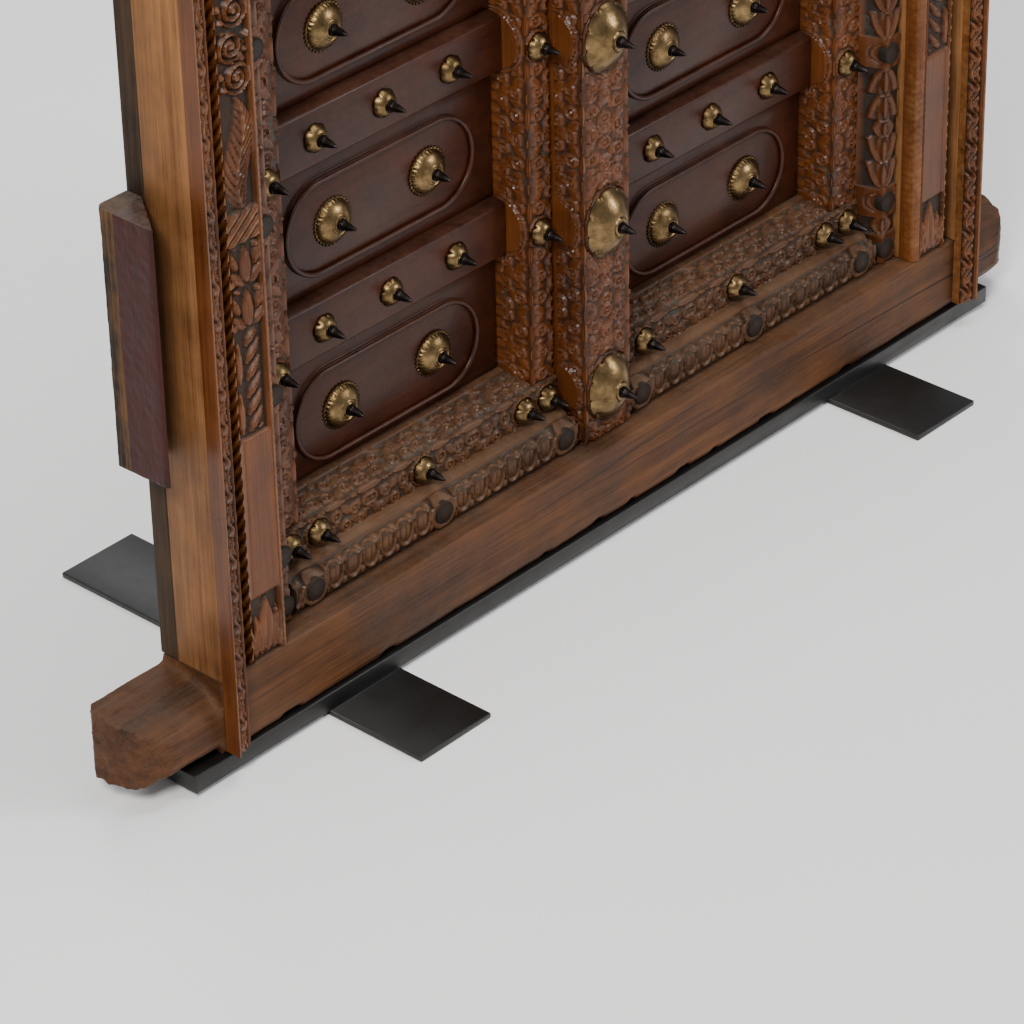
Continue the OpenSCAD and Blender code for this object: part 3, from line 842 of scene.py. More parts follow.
def wave_leaves(a, y, way):
    x = (a - outer_x / MM + STRIP_WIDTH) / STRIP_FRONT * DRAWN_WIDTH
    phase = way / WAVE * 2 * np.pi
    stem_x = 14 + 6.5 * np.sin(phase)
    field = np.sqrt(np.clip(1 - ((x - stem_x) / 3.2) ** 2, 0, 1))
    local = np.mod(way, WAVE)
    for x0, y0, degrees, length, width in ((19, 4, 128, 25, 9), (9, 28, 52, 25, 9),
                                           (23, 20, 108, 20, 7), (5, 44, 72, 20, 7)):
        for shift in (-WAVE, 0, WAVE):
            field = highest(field, leaf(x, local + shift, x0, y0, degrees, length, width))
    field = highest(field, rise(x, 25.5, 27.5), 1 - rise(x, 1.2, 2.6))
    return field * 0.94 + 0.06 * wobble(a, way, 30, 8)


arris_y = low("right_outer_strip").y
strip_foot, strip_head = low("right_outer_strip").z, high("right_outer_strip").z
strip_x = outer_x - STRIP_WIDTH * MM
for side in ("left", "right"):
    upright(side + "_outer_strip",
            [(strip_x, face_y, True), (strip_x, arris_y + 11 * MM, True),
             (outer_x - 3 * MM, arris_y, False), (outer_x, arris_y, False),
             (outer_x, face_y, False)], wave_leaves, "strip", 7, strip_foot, strip_head)
print("outer strips", round(strip_head - strip_foot, 3), "long")

# %% [markdown]
# A rope is a half-round bead whose surface winds. Strands that lean are cut by a wave that
# advances with the angle round the bead.

# %% Ropes in the grooves
middle = (groove_x + strip_x) / 2
STRAND = 21    # millimetres along the rope from one strand to the next


def rope_pattern(a, y, way):
    angle = np.arctan2(a - middle / MM, board_y / MM - y)
    return 0.15 + 0.85 * np.sqrt(np.abs(np.sin(np.pi * way / STRAND + angle * 0.9)))


round_points = [(middle + 10.5 * MM * math.cos(t), board_y - 13 * MM * math.sin(t), True)
                for t in np.linspace(math.pi, 0, 9)]
round_points[-1] = round_points[-1][:2] + (False,)
for side in ("left", "right"):
    rope = carved_bar(round_points, sill_top, lintel_foot, "Z", rope_pattern, 4.5 * MM,
                      step=2.6 * MM, mirror=side == "left")
    rope.name = rope.data.name = side + "_rope"
    rope.data.materials.append(finish["dark_strip"])
    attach(rope, body_of[side + "_jamb"])
print("two ropes of", len(rope.data.polygons), "faces")


# %% [markdown]
# The pilaster's fields are drawn with the same strokes as the posts. Each has its own stretch of
# the height, and a short plain band between two fields hides the change.


# %% The pilaster's leaves
PILASTER_MIDDLE = 37.0    # millimetres from the doorway's edge to the pattern's axis


def spiky_foot(x, level):
    """Spiky leaves that fan up from the sill."""
    field = leaf(x, level, PILASTER_MIDDLE, 4, 90, 84, 30)
    for x0, degrees in ((18, 106), (27, 98), (47, 82), (56, 74)):
        field = highest(field, leaf(x, level, x0, 2, degrees, 66, 15))
    return field


def plain_board(x, level):
    """A plain board, with one thin line beside its edge."""
    return 0.80 - 0.2 * np.exp(-((x - 60) / 1.6) ** 2)


def leaflets(x, level):
    """Long leaflets that lean over a stem."""
    local = np.mod(level - 325, 24)
    lean = highest(*[leaf(x, local + k, 46, 2, 128, 40, 11) for k in (-24, 0, 24)])
    return highest(lean, leaf(x, np.mod(level - 325, 70), 58, 2, 90, 64, 12))


def cluster(x, level):
    local = np.mod(level - 470, 60)
    return highest(leaf(x, local, PILASTER_MIDDLE, 2, 90, 54, 20),
                   leaf(x, local, 32, 0, 132, 34, 13), leaf(x, local, 42, 0, 48, 34, 13),
                   leaf(x, local, 24, 22, 112, 34, 11), leaf(x, local, 51, 22, 68, 34, 11),
                   bead(x, local, 62, 8, 5), bead(x, local, 20, 50, 5), bead(x, local, 54, 56, 4))


print("lower fields drawn")


# %% Chevrons, plume and scrolls
def chevrons(x, level):
    return np.abs(np.sin(np.pi * (level + (x - PILASTER_MIDDLE) * 0.8) / 15)) ** 0.7


def plume(x, level):
    """A feather with a waving stem."""
    foot, length = 632, 148
    stem = x - PILASTER_MIDDLE - 8 * np.sin((level - foot) / 74 * np.pi)
    feather = 0.2 + 0.75 * np.abs(np.sin(np.pi * (level - np.abs(stem) * 1.5) / 13)) ** 0.8
    share = np.clip((level - foot) / length, 0, 1)
    half = 24 * np.sin(np.pi * np.clip(share * 0.86 + 0.12, 0, 1)) + 1
    return highest(feather * np.sqrt(np.clip(1 - (stem / half) ** 2, 0, 1)),
                   np.sqrt(np.clip(1 - (stem / 2.6) ** 2, 0, 1)))


def scrolls(x, level):
    """Curling stems with berries, one to each hand in turn."""
    local = np.mod(level - 782, 86)
    field = 0
    for y0, x0, hand in ((22, 34, 1), (64, 42, -1)):
        dx, dy = (x - x0) * hand, local - y0
        turns = np.hypot(dx, dy)
        spiral = np.mod(turns / 9.0 - np.arctan2(dy, dx) / (2 * np.pi), 1)
        curl = np.sqrt(np.clip(1 - ((spiral - 0.5) / 0.30) ** 2, 0, 1)) * (turns < 21)
        field = highest(field, curl, bead(x, local, x0, y0, 5.5),
                        bead(x, local, x0 + 25 * hand, y0 + 8, 5),
                        bead(x, local, x0 + 22 * hand, y0 - 10, 4),
                        leaf(x, local, x0 - 14 * hand, y0 + 17, 90 - 40 * hand, 28, 10))
    return field


print("upper fields drawn")

# %% [markdown]
# The fields are stacked from the sill to the lintel. The board's rounded inner edge is notched like
# a row of leaflets, and the side that faces the groove is cut in slanted strands.

# %% Pilasters
door_height = (lintel_foot - sill_top) / MM
PILASTER_FIELDS = ((0, 90, spiky_foot), (88, 325, plain_board), (325, 470, leaflets),
                   (470, 588, cluster), (586, 634, chevrons), (632, 782, plume),
                   (780, door_height, scrolls))


def pilaster_pattern(a, y, level):
    x = a - jamb_x / MM    # 0 at the doorway, 69 at the groove
    total = 0
    for foot, head, field in PILASTER_FIELDS:
        fade = rise(level, foot, foot + 5) * (1 - rise(level, head - 5, head))
        total = highest(total, field(x, level) * fade)
    notch = 0.84 + 0.14 * np.abs(np.sin(np.pi * (level + (y - x) * 0.5) / 11)) ** 0.5
    total = np.where(x < 14.5, notch - 0.4 * np.exp(-((x - 12) / 1.4) ** 2), total)
    total = np.where(x > 66.5, 0.95, total)
    strand = 0.08 + 0.9 * np.abs(np.sin(np.pi * (level + (y - face_y / MM) * 1.25) / 19)) ** 0.6
    total = np.where(x > 68.6, strand, total)
    return total * 0.97 + 0.03 * wobble(a, level, 40, 12)


bend = 14 * MM
arc = [(jamb_x + bend - bend * math.sin(t), face_y + bend - bend * math.cos(t), True)
       for t in np.linspace(0, math.pi / 2, 7)]
arc[-1] = arc[-1][:2] + (False,)
for side in ("left", "right"):
    pilaster = upright(side + "_pilaster",
                       [(groove_x, board_y, True), (groove_x, face_y, True)] + arc
                       + [(jamb_x, board_y, False)], pilaster_pattern, "strip", 7.5, sill_top,
                       lintel_foot)
print("pilaster", len(pilaster.data.polygons), "faces")

# %% [markdown]
# ## Lotus battens
# The battens round each leaf carry rows of ribbed petals, broken where a peg goes through. The
# petals lie over the sloping inner face and the front alike, so the pattern uses the distance
# measured round the section.
#
# The uprights carry cups stacked one in the next, and the cross battens a row of cupped petals.


# %% Cups and petals
def bells(across, way, pitch):
    """Cups stacked along a band: each is an outline closed at the foot, with a leaf inside."""
    v = np.mod(way, pitch) / pitch
    edge = 0.90 * np.clip(v, 0, 1) ** 0.38 + 1e-3
    outline = np.sqrt(np.clip(1 - ((np.abs(across) - edge) / 0.17) ** 2, 0, 1))
    inner = np.sqrt(np.clip(1 - (across / (0.40 * np.sin(np.pi * np.clip(v * 0.9 + 0.06, 0, 1))
                                           + 1e-3)) ** 2, 0, 1))
    inner = inner * (1 - 0.35 * np.exp(-((across / 0.06) ** 2)))
    flesh = np.where(np.abs(across) < edge, 0.42 + 0.12 * np.cos(across * 16), 0.10)
    return highest(outline * rise(1 - v, 0.0, 0.06), inner * 0.95, flesh)


def tulips(way, rise_at, pitch):
    """A row of cupped petals, each with an outline, a hollow and a veined heart."""
    u = np.mod(way, pitch) - pitch / 2
    reach = np.hypot(u / (0.49 * pitch), (rise_at - 27) / 25)
    outline = np.sqrt(np.clip(1 - ((reach - 0.88) / 0.13) ** 2, 0, 1))
    heart = np.hypot(u / (0.31 * pitch), (rise_at - 25) / 18)
    heart = np.sqrt(np.clip(1 - heart ** 2, 0, 1)) * (1 - 0.55 * np.exp(-((u / 1.3) ** 2)))
    v = np.mod(way + pitch / 2, pitch) - pitch / 2
    dart = np.sqrt(np.clip(1 - (v / (0.20 * pitch)) ** 2 - ((rise_at - 47) / 8) ** 2, 0, 1))
    drop = np.sqrt(np.clip(1 - (v / (0.18 * pitch)) ** 2 - ((rise_at - 7) / 6) ** 2, 0, 1))
    return highest(outline * 0.95, heart * 0.95, dart * 0.9, drop * 0.9, 0.18)


print("cups and petals drawn")

# %% Where the pegs are
slope = 12 * MM
lip_y = post_y - 0.3 * (post_y - batten_y)
PEG_FIRST, PEG_PITCH = 96.0, 236.0
PEG_INSET = 21.0    # from a batten's outer edge to its pegs
FOOT_PEG_PITCH = 241.0
leaf_mm = (leaf_head - leaf_foot) / MM
peg_at = [PEG_INSET] + [PEG_FIRST + PEG_PITCH * k for k in range(8)
                   if PEG_FIRST + PEG_PITCH * k < leaf_mm - 64] + [leaf_mm - PEG_INSET]
panel_mid = (panel_x0 + panel_x1) / 2 / MM
foot_peg_x = [panel_mid + k * FOOT_PEG_PITCH for k in (-1, 0, 1)]
print("pegs up the leaf at", [round(p) for p in peg_at])


# %% The two bands
def tulip_band(a, y, way, inner, outer, pegs, peg_a):
    """Cupped petals on the flat front of a cross batten, with a plain slope above them."""
    gap = gap_to(way, pegs)
    flat = abs(inner - outer) - slope / MM
    rise_at = np.abs(a - outer)
    up_slope = math.hypot(slope, lip_y - batten_y) / slope
    rise_at = np.where(rise_at > flat, flat + (rise_at - flat) * up_slope, rise_at)
    field = tulips(np.abs(gap) - 22, rise_at, 33)
    field = np.where(np.abs(gap) < 22, 0.0, field)
    reach = np.hypot(a - peg_a, gap)
    field = np.where(reach < 24, 0.9 - 0.35 * np.exp(-((reach - 17) / 1.4) ** 2), field)
    plain = 0.93 - 0.5 * np.exp(-((rise_at - 56.5) / 1.2) ** 2)
    field = np.where(rise_at > 55, plain, field)
    return field * 0.96 + 0.04 * wobble(a, way, 40, 15)


def petal_band(a, y, way, inner, outer, pegs, peg_a):
    """Petals on a band whose slope begins at inner and whose front ends at outer."""
    total_slope = math.hypot(slope, lip_y - batten_y) / MM
    front = abs(outer - inner) - slope / MM
    inward = np.abs(a - inner)
    run = np.where(inward < slope / MM, inward / (slope / MM) * total_slope,
                   total_slope + inward - slope / MM)
    across = 2 * run / (total_slope + front) - 1
    gap = gap_to(way, pegs)
    field = bells(across * 1.05 - 0.05, np.abs(gap) - 24, 40)
    reach = np.hypot(a - peg_a, gap)
    hollow = 1 - 0.5 * np.exp(-((reach - 17.5) / 1.8) ** 2)
    field = np.where(reach < 22, np.where(reach < 20, 0.9, 0.5) * hollow, field)
    tip = np.sqrt(np.clip(1 - (across / np.clip((np.abs(gap) - 8) / 18, 0.01, 1)) ** 2, 0, 1))
    near_peg = highest(np.where(reach < 22, field, 0.80), tip * 0.95)
    field = np.where(np.abs(gap) < 24, near_peg, field)
    return field * 0.96 + 0.04 * wobble(a, way, 40, 15)


print("bands ready")

# %% Upright battens
x_in, x_out = batten_x / MM, leaf_x / MM
for side in ("left", "right"):
    upright(side + "_upright_batten",
            [(batten_x, post_y, False), (batten_x, lip_y, True), (batten_x + slope, batten_y, True),
             (leaf_x, batten_y, False), (leaf_x, post_y, False)],
            lambda a, y, way: petal_band(a, y, way, x_in, x_out, peg_at, x_out - PEG_INSET),
            "batten_up", 6)
print("two upright battens from", round(leaf_foot, 3), "to", round(leaf_head, 3))

# %% Cross battens
for side in ("left", "right"):
    for end in ("foot", "head"):
        node = side + "_" + end + "_batten"
        z_out = leaf_foot if end == "foot" else leaf_head
        sign = 1 if end == "foot" else -1
        height = high(node).z - low(node).z
        z_in = z_out + sign * height
        x_lo = low("right_" + end + "_batten").x if side == "right" else -high(node).x
        pegs = [x - x_lo / MM for x in foot_peg_x if x - 16 > x_lo / MM]
        bar = carved_bar(
            [(z_in, post_y, False), (z_in, lip_y, True), (z_in - sign * slope, batten_y, True),
             (z_out, batten_y, False), (z_out, post_y, False)], x_lo, batten_x, "X",
            lambda a, y, way: tulip_band(a, y, way, z_in / MM, z_out / MM, pegs,
                                         z_out / MM + sign * PEG_INSET),
            5 * MM, fine=1.9 * MM, step=1.9 * MM, mirror=side == "left")
        finish_piece(bar, node, "batten")
print("four cross battens of", len(bar.data.polygons), "faces")

# %% [markdown]
# ## End rails
# Each end rail is a plain tongue between the posts with a carved tier that laps over them. The
# tier's sprays run between flat seats for the bosses, and they go on over the ledge behind it.


# %% The tier's pattern
def tier_pattern(seats, arris_z, front_y, middle_z):
    """Sprays that open from the tier's arris, down its front and back over the ledge."""
    def pattern(a, y, way):
        x = np.where(y - front_y < 0.3, np.abs(a - arris_z), y - front_y)
        gap = gap_to(way, seats)
        field = sprig(x, np.mod(np.abs(gap) - 16, 58), 0.98)
        field = np.where(x > 57, 0.9, field)
        seat = np.where(y - front_y < 0.3, np.hypot(a - middle_z, gap), 99)
        field = np.where(seat < 24, highest(field * rise(seat, 22.5, 24),
                                            0.92 * (1 - rise(seat, 21.5, 22.5))), field)
        return field * 0.97 + 0.03 * wobble(a + y, way, 30, 22)
    return pattern


print("tier pattern ready")

# %% Carved tiers
TIER_LOW, TIER_HIGH, LEDGE, LEDGE_BACK = (n * MM for n in (48, 94, 98, 103))
STUD_PITCH = 197
for side in ("left", "right"):
    for end in ("bottom", "top"):
        node = side + "_" + end + "_rail"
        flip = 1 if end == "bottom" else -1
        z_end = leaf_foot if end == "bottom" else leaf_head
        x_lo = -high(node).x if side == "left" else low(node).x
        z0, z1 = z_end + flip * TIER_LOW, z_end + flip * TIER_HIGH
        seats = [x - x_lo / MM for x in
                 [panel_mid - STUD_PITCH, panel_mid, panel_mid + STUD_PITCH,
                  (panel_x1 + batten_x) / 2 / MM]]
        if side == "left":
            seats.append((panel_x0 + meet_x) / 2 / MM - x_lo / MM)
        z_ledge, z_back = z_end + flip * LEDGE, z_end + flip * LEDGE_BACK
        ledge_y = panel_edge_y - 2 * MM
        middle = (z0 + z1) / 2 / MM
        bar = carved_bar(
            [(z0, post_y, False), (z0, tier_y, True), (z1, tier_y, True), (z_ledge, post_y, False)],
            x_lo, batten_x, "X", tier_pattern(seats, z1 / MM, tier_y / MM, middle), 4.8 * MM,
            fine=2.1 * MM, step=2.1 * MM, mirror=side == "left")
        finish_piece(bar, node, "tier", name=node + "_tier")
        shifted = [x + (x_lo - panel_x0) / MM for x in seats]
        tongue = carved_bar(
            [(z_end, post_y, False), (z_ledge, post_y, True), (z_back, ledge_y, False),
             (z_back, leaf_back, False), (z_end, leaf_back, False)],
            panel_x0, panel_x1, "X", tier_pattern(shifted, z1 / MM, tier_y / MM, middle), 4.8 * MM,
            fine=2.1 * MM, step=2.1 * MM, mirror=side == "left")
        finish_piece(tongue, node, "tier")
print("four tiers of", len(bar.data.polygons), "faces")

# %% [markdown]
# ## Panels and rails
# The panels are plain raised boards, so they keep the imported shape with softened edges. A copy of
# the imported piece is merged, its flat triangles are dissolved, and a bevel breaks its edges. An
# oval bead of half-round wood is laid round each field: a ring, pulled apart in the middle.


# %% Softened copies
def plain_copy(node):
    source = frame["nodes"][node]
    clear_selection()
    obj = source.copy()
    obj.data = source.data.copy()
    bpy.context.collection.objects.link(obj)
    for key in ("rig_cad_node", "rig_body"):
        if key in obj:
            del obj[key]
    place = source.matrix_world.copy()
    obj.parent = None
    obj.data.transform(place)
    obj.matrix_world = Matrix.Identity(4)
    obj.hide_render = False
    obj.hide_viewport = False
    edit_all(obj)
    bpy.ops.mesh.remove_doubles(threshold=0.00001)
    bpy.ops.mesh.dissolve_limited(angle_limit=math.radians(1))
    bpy.ops.mesh.select_all(action="SELECT")
    bpy.ops.mesh.normals_make_consistent(inside=False)
    bpy.ops.object.mode_set(mode="OBJECT")
    return obj


def apply_modifier(obj, kind, **values):
    only(obj)
    modifier = obj.modifiers.new(kind.lower(), kind)
    for key, value in values.items():
        setattr(modifier, key, value)
    bpy.ops.object.modifier_apply(modifier=modifier.name)


def soften(node, bevel, segments=2):
    obj = plain_copy(node)
    apply_modifier(obj, "BEVEL", width=bevel, segments=segments, limit_method="ANGLE",
                   angle_limit=math.radians(30), harden_normals=False)
    set_relief(obj, np.ones(len(obj.data.vertices)))
    smooth(obj)
    return obj


def shape(obj, change):
    """Moves the points of a mesh with a function of their places and normals."""
    mesh = obj.data
    co = np.zeros(len(mesh.vertices) * 3, np.float32)
    no = np.zeros(len(mesh.vertices) * 3, np.float32)
    mesh.vertices.foreach_get("co", co)
    mesh.vertices.foreach_get("normal", no)
    moved = change(co.reshape(-1, 3).astype(float), no.reshape(-1, 3).astype(float))
    mesh.vertices.foreach_set("co", moved.astype(np.float32).ravel())
    mesh.update()
    return obj


print("copies can be softened")

# %% Panels
field_l, field_r = 174 * MM, 67 * MM    # half the length and half the height of a field
BEAD, BEAD_SUNK = 3.4 * MM, 2.6 * MM
FIRST_PANEL = (103 + 84) * MM           # the middle of the lowest panel above the leaf's foot
panel_names = sorted(n for n in body_of if n.startswith("right_panel_"))
for side, sign in (("left", -1), ("right", 1)):
    for i, right_name in enumerate(panel_names):
        node = side + right_name[len("right"):]
        board = soften(node, 1.6 * MM)
        middle_z = leaf_foot + FIRST_PANEL + i * (rail_levels[1] - rail_levels[0])
        clear_selection()
        bpy.ops.mesh.primitive_torus_add(major_segments=72, minor_segments=10,
                                         major_radius=field_r - 3 * MM, minor_radius=BEAD,
                                         rotation=(math.pi / 2, 0, 0))
        bead_ring = bpy.context.object
        bpy.ops.object.transform_apply(location=False, rotation=True, scale=True)
        reach = field_l - field_r
        x_mid = sign * (panel_x0 + panel_x1) / 2

        def pull(co, no):
            co[:, 0] += np.sign(np.round(co[:, 0], 5)) * reach + x_mid
            co[:, 1] = panel_edge_y - BEAD_SUNK + co[:, 1] * 0.9
            co[:, 2] += middle_z
            return co

        shape(bead_ring, pull)
        smooth(bead_ring, 60)
        set_relief(bead_ring, np.full(len(bead_ring.data.vertices), 1.0))
        finish_piece(join([board, bead_ring]), node, "panel")
print("panels", 2 * len(panel_names))

# %% Rails
for side in ("left", "right"):
    for right_name in rail_names:
        node = side + right_name[len("right"):]
        finish_piece(soften(node, 3.2 * MM, 3), node, "panel")
print("rails", 2 * len(rail_names))

# %% [markdown]
# ## Sill, lintel and jambs
# Big timbers that have stood outdoors have no straight edge left. A voxel remesh gives the packed
# shape an even skin, and slow seeded waves move that skin by a millimetre or two. Sculpting the
# dents one by one is the other way, but waves wear every timber alike and inwards only, so no piece
# grows past its stock.


# %% How timber wears
def worn(node, voxel, amount, material, seed, size=0.09):
    obj = plain_copy(node)
    apply_modifier(obj, "REMESH", mode="VOXEL", voxel_size=voxel, adaptivity=0)

    def wear(co, no):
        slow = wobble(co[:, 0] + co[:, 1] * 0.7, co[:, 2] + co[:, 1] * 0.4, size, seed)
        quick = wobble(co[:, 0] - co[:, 1], co[:, 2] + co[:, 1], size / 5, seed + 1)
        cut = amount * (0.5 + 0.5 * slow) + amount * 0.3 * (0.5 + 0.5 * quick)
        # the horns crack and crumble, and the lower front edge loses chips
        end = rise(np.abs(co[:, 0]), outer_x + 0.02, outer_x + 0.12)
        rough = np.abs(wobble(co[:, 0] * 0.3 + co[:, 1], co[:, 2], 0.03, 77))
        rough = rough + 0.6 * np.abs(wobble(co[:, 1], co[:, 2] + co[:, 0] * 0.4, 0.012, 79))
        cut = cut + end * 3.0 * MM * rough
        foot = np.exp(-(co[:, 2] - co[:, 2].min()) / (9 * MM)) * (co[:, 1] < face_y + 0.02)
        chips = rise(wobble(co[:, 0], co[:, 0] * 0.3, 0.05, 78), 0.25, 0.5)
        return co - no * (cut + foot * chips * 5 * MM * (node == "sill"))[:, None]

    shape(obj, wear)
    # dirt gathers on the horns
    places = np.array([tuple(v.co) for v in obj.data.vertices])
    end = rise(np.abs(places[:, 0]), outer_x + 0.005, outer_x + 0.08)
    patches = 0.65 + 0.35 * wobble(places[:, 0] + places[:, 1], places[:, 2], 0.06, 80)
    if node in ("sill", "lintel"):
        set_relief(obj, 1 - 0.72 * end * patches)
    smooth(obj, 60)
    return finish_piece(obj, node, material)


print("timber can be worn")

# %% Sill and lintel
worn("sill", 5 * MM, 1.8 * MM, "sill", 31)
worn("lintel", 5 * MM, 1.5 * MM, "sill", 33)
print("sill and lintel worn")

# %% Anchors, jambs, back strips and stand
ANCHOR_SEAM = -98 * MM    # in front of this plane an anchor is painted, behind it is bare
for side in ("left", "right"):
    anchor = worn(side + "_anchor", 3.5 * MM, 1.0 * MM, "anchor", 41)
    anchor.data.materials.append(finish["anchor_back"])
    for polygon in anchor.data.polygons:
        polygon.material_index = int(polygon.center.y > ANCHOR_SEAM)
    finish_piece(soften(side + "_jamb", 1.2 * MM), side + "_jamb", "jamb")
    finish_piece(soften(side + "_back_strip", 2 * MM), side + "_back_strip", "grey")
finish_piece(soften("stand", 1.5 * MM), "stand", "steel")
print("anchors worn; jambs, back strips and stand softened")

# %% [markdown]
# ## Bosses, spikes and pegs
# A boss is a turned shape with a cut rim. It is made once as a grid wrapped round its axis: one
# direction runs from the rim to the crown, the other goes round, and the rim's radius rises and
# falls for the teeth. The copies then get their own meshes at every seat.


# %% Turned shapes
def turned_shape(profile, around, rim=None):
    """profile is (radius, height) in millimetres from the rim to the crown; the axis is -Y."""
    profile = np.array(profile, float)
    clear_selection()
    bpy.ops.mesh.primitive_grid_add(x_subdivisions=around, y_subdivisions=len(profile) - 1, size=1)
    obj = bpy.context.object

    def wrap(co, no):
        turn = np.round((co[:, 0] + 0.5) * around) % around / around * 2 * np.pi
        row = np.round((co[:, 1] + 0.5) * (len(profile) - 1)).astype(int)
        radius, height = profile[row, 0].copy(), profile[row, 1].copy()
        if rim:
            radius, height = rim(turn, radius, height, row)
        return np.stack([radius * np.sin(turn), -height, radius * np.cos(turn)], 1) * MM

    shape(obj, wrap)
    reach = np.array([v.co.xz.length for v in obj.data.vertices])
    # relief falls towards the rim: the brass is tarnished there, and on the wooden pegs the age
    # group paints the sides near black, painted shade with some dirt
    set_relief(obj, 1.1 - 1.25 * (reach / reach.max()) ** 4)
    close_skin(obj)
    smooth(obj, 38)
    return obj


print("shapes can be turned")


# %% The rims
def gear(turn, radius, height, row):
    tooth = np.clip(2.0 * np.sin(turn * 32), -1, 1)
    return (radius + np.where(row <= 2, 1.3 * tooth - 1.3, 0),
            height - np.where((row >= 3) & (row <= 5), 0.9 - 0.9 * tooth, 0))


def lobed(radius, row, notch, depth):
    """Cuts the rim in between the lobes, less and less over the first four rows."""
    return radius * (1 - depth * np.clip(1 - row / 4, 0, 1) * (1 - notch))


def flower(lobes, depth):
    def rim(turn, radius, height, row):
        return lobed(radius, row, np.abs(np.cos(turn * lobes / 2)) ** 0.3, depth), height
    return rim


def shield_rim(turn, radius, height, row):
    # nine lobes on a shape that is taller than it is wide
    radius = lobed(radius, row, np.abs(np.cos(turn * 4.5)) ** 0.35, 0.13)
    return radius * (1 + 0.214 * np.cos(turn) ** 2), height


print("rims ready")

# %% Turn one of each
big = turned_shape([(34.4, 0.1), (34.4, 1.6), (33.0, 2.4), (30.8, 2.6), (30.4, 3.8), (29.4, 5.6),
                    (27.6, 7.8), (25.0, 10.2), (21.8, 12.6), (18.2, 14.6), (14.6, 16.0),
                    (13.8, 15.5), (13.0, 16.2), (11.6, 16.8), (11.0, 16.3), (10.2, 17.2),
                    (9.2, 18.0), (0.0, 18.0)], 160, gear)
small = turned_shape([(20.3, 0.1), (20.3, 1.4), (18.9, 3.6), (17.0, 6.4), (14.6, 9.2),
                      (11.8, 11.6), (9.6, 12.6), (9.2, 12.1), (8.7, 13.6), (7.0, 14.0),
                      (0.0, 14.0)], 60, flower(6, 0.20))
shield = turned_shape([(41.5, 0.3), (41.5, 1.8), (39.0, 3.2), (37.0, 5.0), (34.0, 8.4),
                       (30.0, 12.4), (25.0, 16.6), (20.0, 20.0), (15.5, 22.4), (13.4, 23.0),
                       (12.8, 22.2), (11.8, 22.6), (10.8, 25.2), (9.0, 26.0), (0.0, 26.0)],
                      108, shield_rim)
point = turned_shape([(8.4, 0.0), (8.5, 1.6), (7.8, 2.6), (6.6, 2.8), (7.0, 4.4), (6.0, 6.4),
                      (5.4, 11.0), (4.2, 16.0), (2.8, 20.6), (1.2, 24.6), (0.0, 26.0)], 24)
peg = turned_shape([(15.8, 0.0), (15.8, 12.4), (14.9, 13.6), (11.0, 13.9), (0.0, 13.7)], 40)
print("turned shapes", [len(o.data.polygons) for o in (big, small, shield, point, peg)])

# %% [markdown]
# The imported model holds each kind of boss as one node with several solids. Its seats are found by
# taking that node apart into loose pieces. Copies are then turned a little, each by its own seeded
# amount, because no smith sets two bosses quite alike.

# %% Place the copies
rng = np.random.default_rng(7)


def seats_of(node):
    """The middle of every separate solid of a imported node, and its deepest and nearest planes."""
    obj = plain_copy(node)
    only(obj)
    bpy.ops.mesh.separate(type="LOOSE")
    pieces = [o for o in bpy.context.selected_objects]
    seats = []
    for piece in pieces:
        corners = np.array([tuple(v.co) for v in piece.data.vertices])
        lo, hi = corners.min(0), corners.max(0)
        seats.append(((lo[0] + hi[0]) / 2, lo[1], hi[1], (lo[2] + hi[2]) / 2))
    meshes = [piece.data for piece in pieces]
    for piece in pieces:
        bpy.data.objects.remove(piece)
    for mesh in meshes:
        bpy.data.meshes.remove(mesh)
    return sorted(seats)


def place_copies(node, pattern, material, tilt):
    """Puts a copy with its foot on the back plane of every solid of the node."""
    copies = []
    for x, _, back_y, z in seats_of(node):
        obj = pattern.copy()
        obj.data = pattern.data.copy()
        bpy.context.collection.objects.link(obj)
        turn = rng.uniform(-tilt, tilt)
        spin = Matrix.Rotation(turn, 4, "Y")
        lean = Matrix.Rotation(rng.uniform(-tilt, tilt) * 0.12, 4, "X")
        size = Matrix.Scale(1 - abs(rng.normal(0, 0.008)), 4)
        obj.data.transform(Matrix.Translation((x, back_y, z)) @ spin @ lean @ size)
        copies.append(obj)
    return finish_piece(join(copies), node, material)


for side in ("left", "right"):
    place_copies(side + "_bosses", big, "brass", 0.4)
    place_copies(side + "_studs", small, "brass", 0.5)
    place_copies(side + "_spikes", point, "iron", 0.4)
    place_copies(side + "_pegs", peg, "peg", 0.5)
place_copies("mullion_bosses", shield, "brass", 0.03)
for pattern in (big, small, shield, point, peg):
    bpy.data.objects.remove(pattern)
print("bosses, spikes and pegs placed")

# %% [markdown]
# ## Floor, light and camera
# A pale floor, one large soft light high on the left, a weaker one on the right, a wide one above
# and a faint one behind. The camera looks down on the door's left side through a long lens.

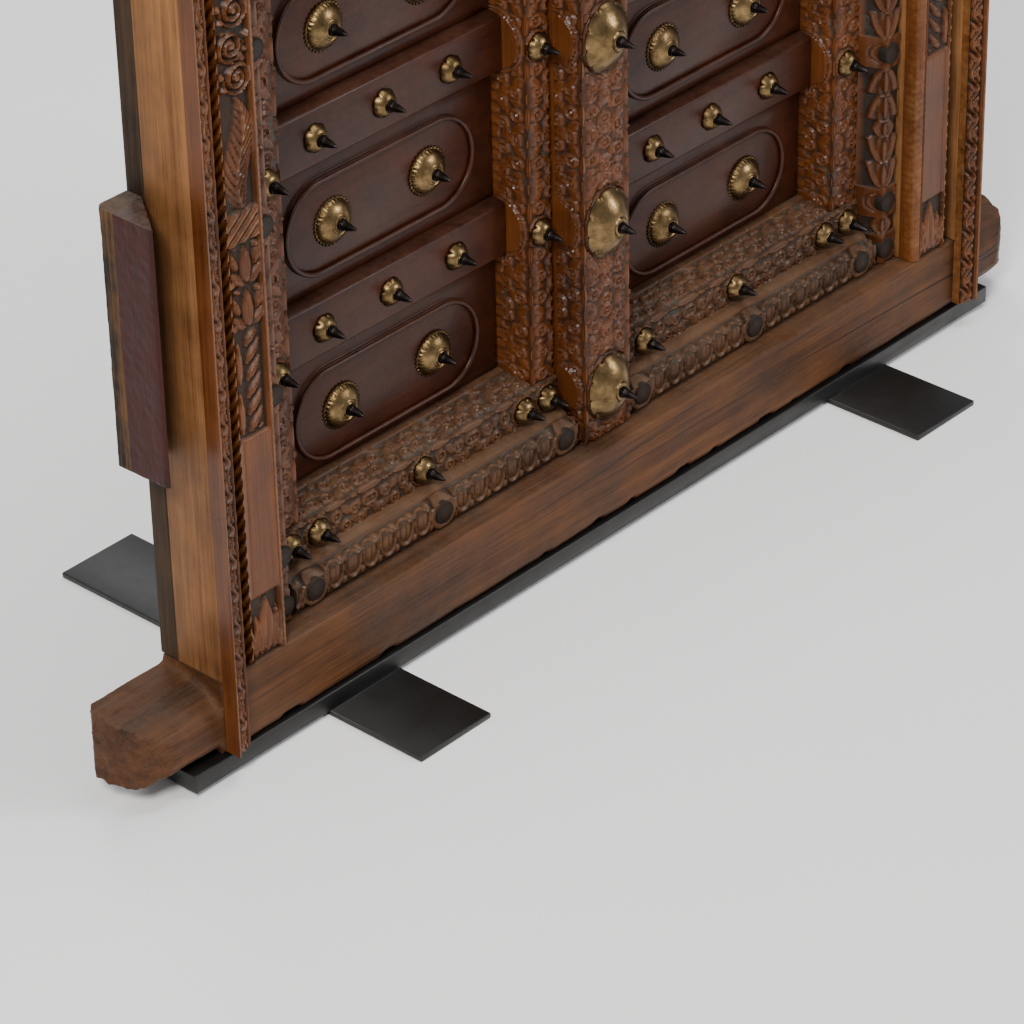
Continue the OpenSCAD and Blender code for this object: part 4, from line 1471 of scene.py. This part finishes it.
# %% Floor
clear_selection()
bpy.ops.mesh.primitive_plane_add(size=24, location=(0, 0, 0))
floor = bpy.context.object
floor.name = "studio_floor"
paint, tree, shader = start_material("pale_floor")
place = tree.nodes.new("ShaderNodeTexCoord").outputs["Object"]
tone = noise(tree, place, 3, 4, 0.6)
link(tree, blend_colour(tree, tone, (0.90, 0.90, 0.90, 1), (0.93, 0.93, 0.93, 1)),
     shader.inputs["Base Color"])
shader.inputs["Roughness"].default_value = 0.85
floor.data.materials.append(paint)
print("floor laid")


# %% Lights
def area_light(name, place, target, size, power, tint):
    clear_selection()
    bpy.ops.object.light_add(type="AREA", location=place)
    lamp = bpy.context.object
    lamp.name = name
    lamp.data.shape = "DISK"
    lamp.data.size = size
    lamp.data.energy = power
    lamp.data.color = tint
    lamp.rotation_euler = (Vector(target) - Vector(place)).to_track_quat("-Z", "Y").to_euler()
    return lamp


area_light("key", (-4.4, -2.6, 4.8), (0, 0, 0.9), 1.6, 380, (1.0, 0.97, 0.93))
area_light("fill", (3.2, -5.0, 3.2), (0, 0, 0.9), 1.8, 150, (0.98, 0.98, 1.0))
area_light("top", (0.4, -0.6, 4.8), (0, 0, 0.9), 2.2, 120, (1.0, 0.99, 0.97))
area_light("rim", (2.2, 3.6, 3.4), (0, 0, 1.1), 2.0, 80, (1.0, 0.98, 0.95))
world = bpy.data.worlds.new("studio")
bpy.context.scene.world = world
world.use_nodes = True
world.node_tree.nodes["Background"].inputs[0].default_value = (0.86, 0.88, 0.92, 1)
world.node_tree.nodes["Background"].inputs[1].default_value = 0.45
print("lights set")

# %% Camera
azimuth, height, roll = (math.radians(d) for d in (-47.234, 32.132, -1.353))
back = Vector((math.sin(azimuth) * math.cos(height), -math.cos(azimuth) * math.cos(height),
               math.sin(height)))
right = Vector((0, 0, 1)).cross(back).normalized()
up = back.cross(right)
across = right * math.cos(roll) + up * math.sin(roll)
upwards = up * math.cos(roll) - right * math.sin(roll)
CAMERA_AT = Vector((-3.836, -3.5115, 3.229))
camera_data = bpy.data.cameras.new("camera")
camera = bpy.data.objects.new("camera", camera_data)
bpy.context.collection.objects.link(camera)
camera.matrix_world = Matrix((
    (across.x, upwards.x, back.x, CAMERA_AT.x), (across.y, upwards.y, back.y, CAMERA_AT.y),
    (across.z, upwards.z, back.z, CAMERA_AT.z), (0, 0, 0, 1)))
camera_data.sensor_width = 36
camera_data.lens = 154.43
bpy.context.scene.camera = camera
print("camera", tuple(round(v, 2) for v in camera.location))
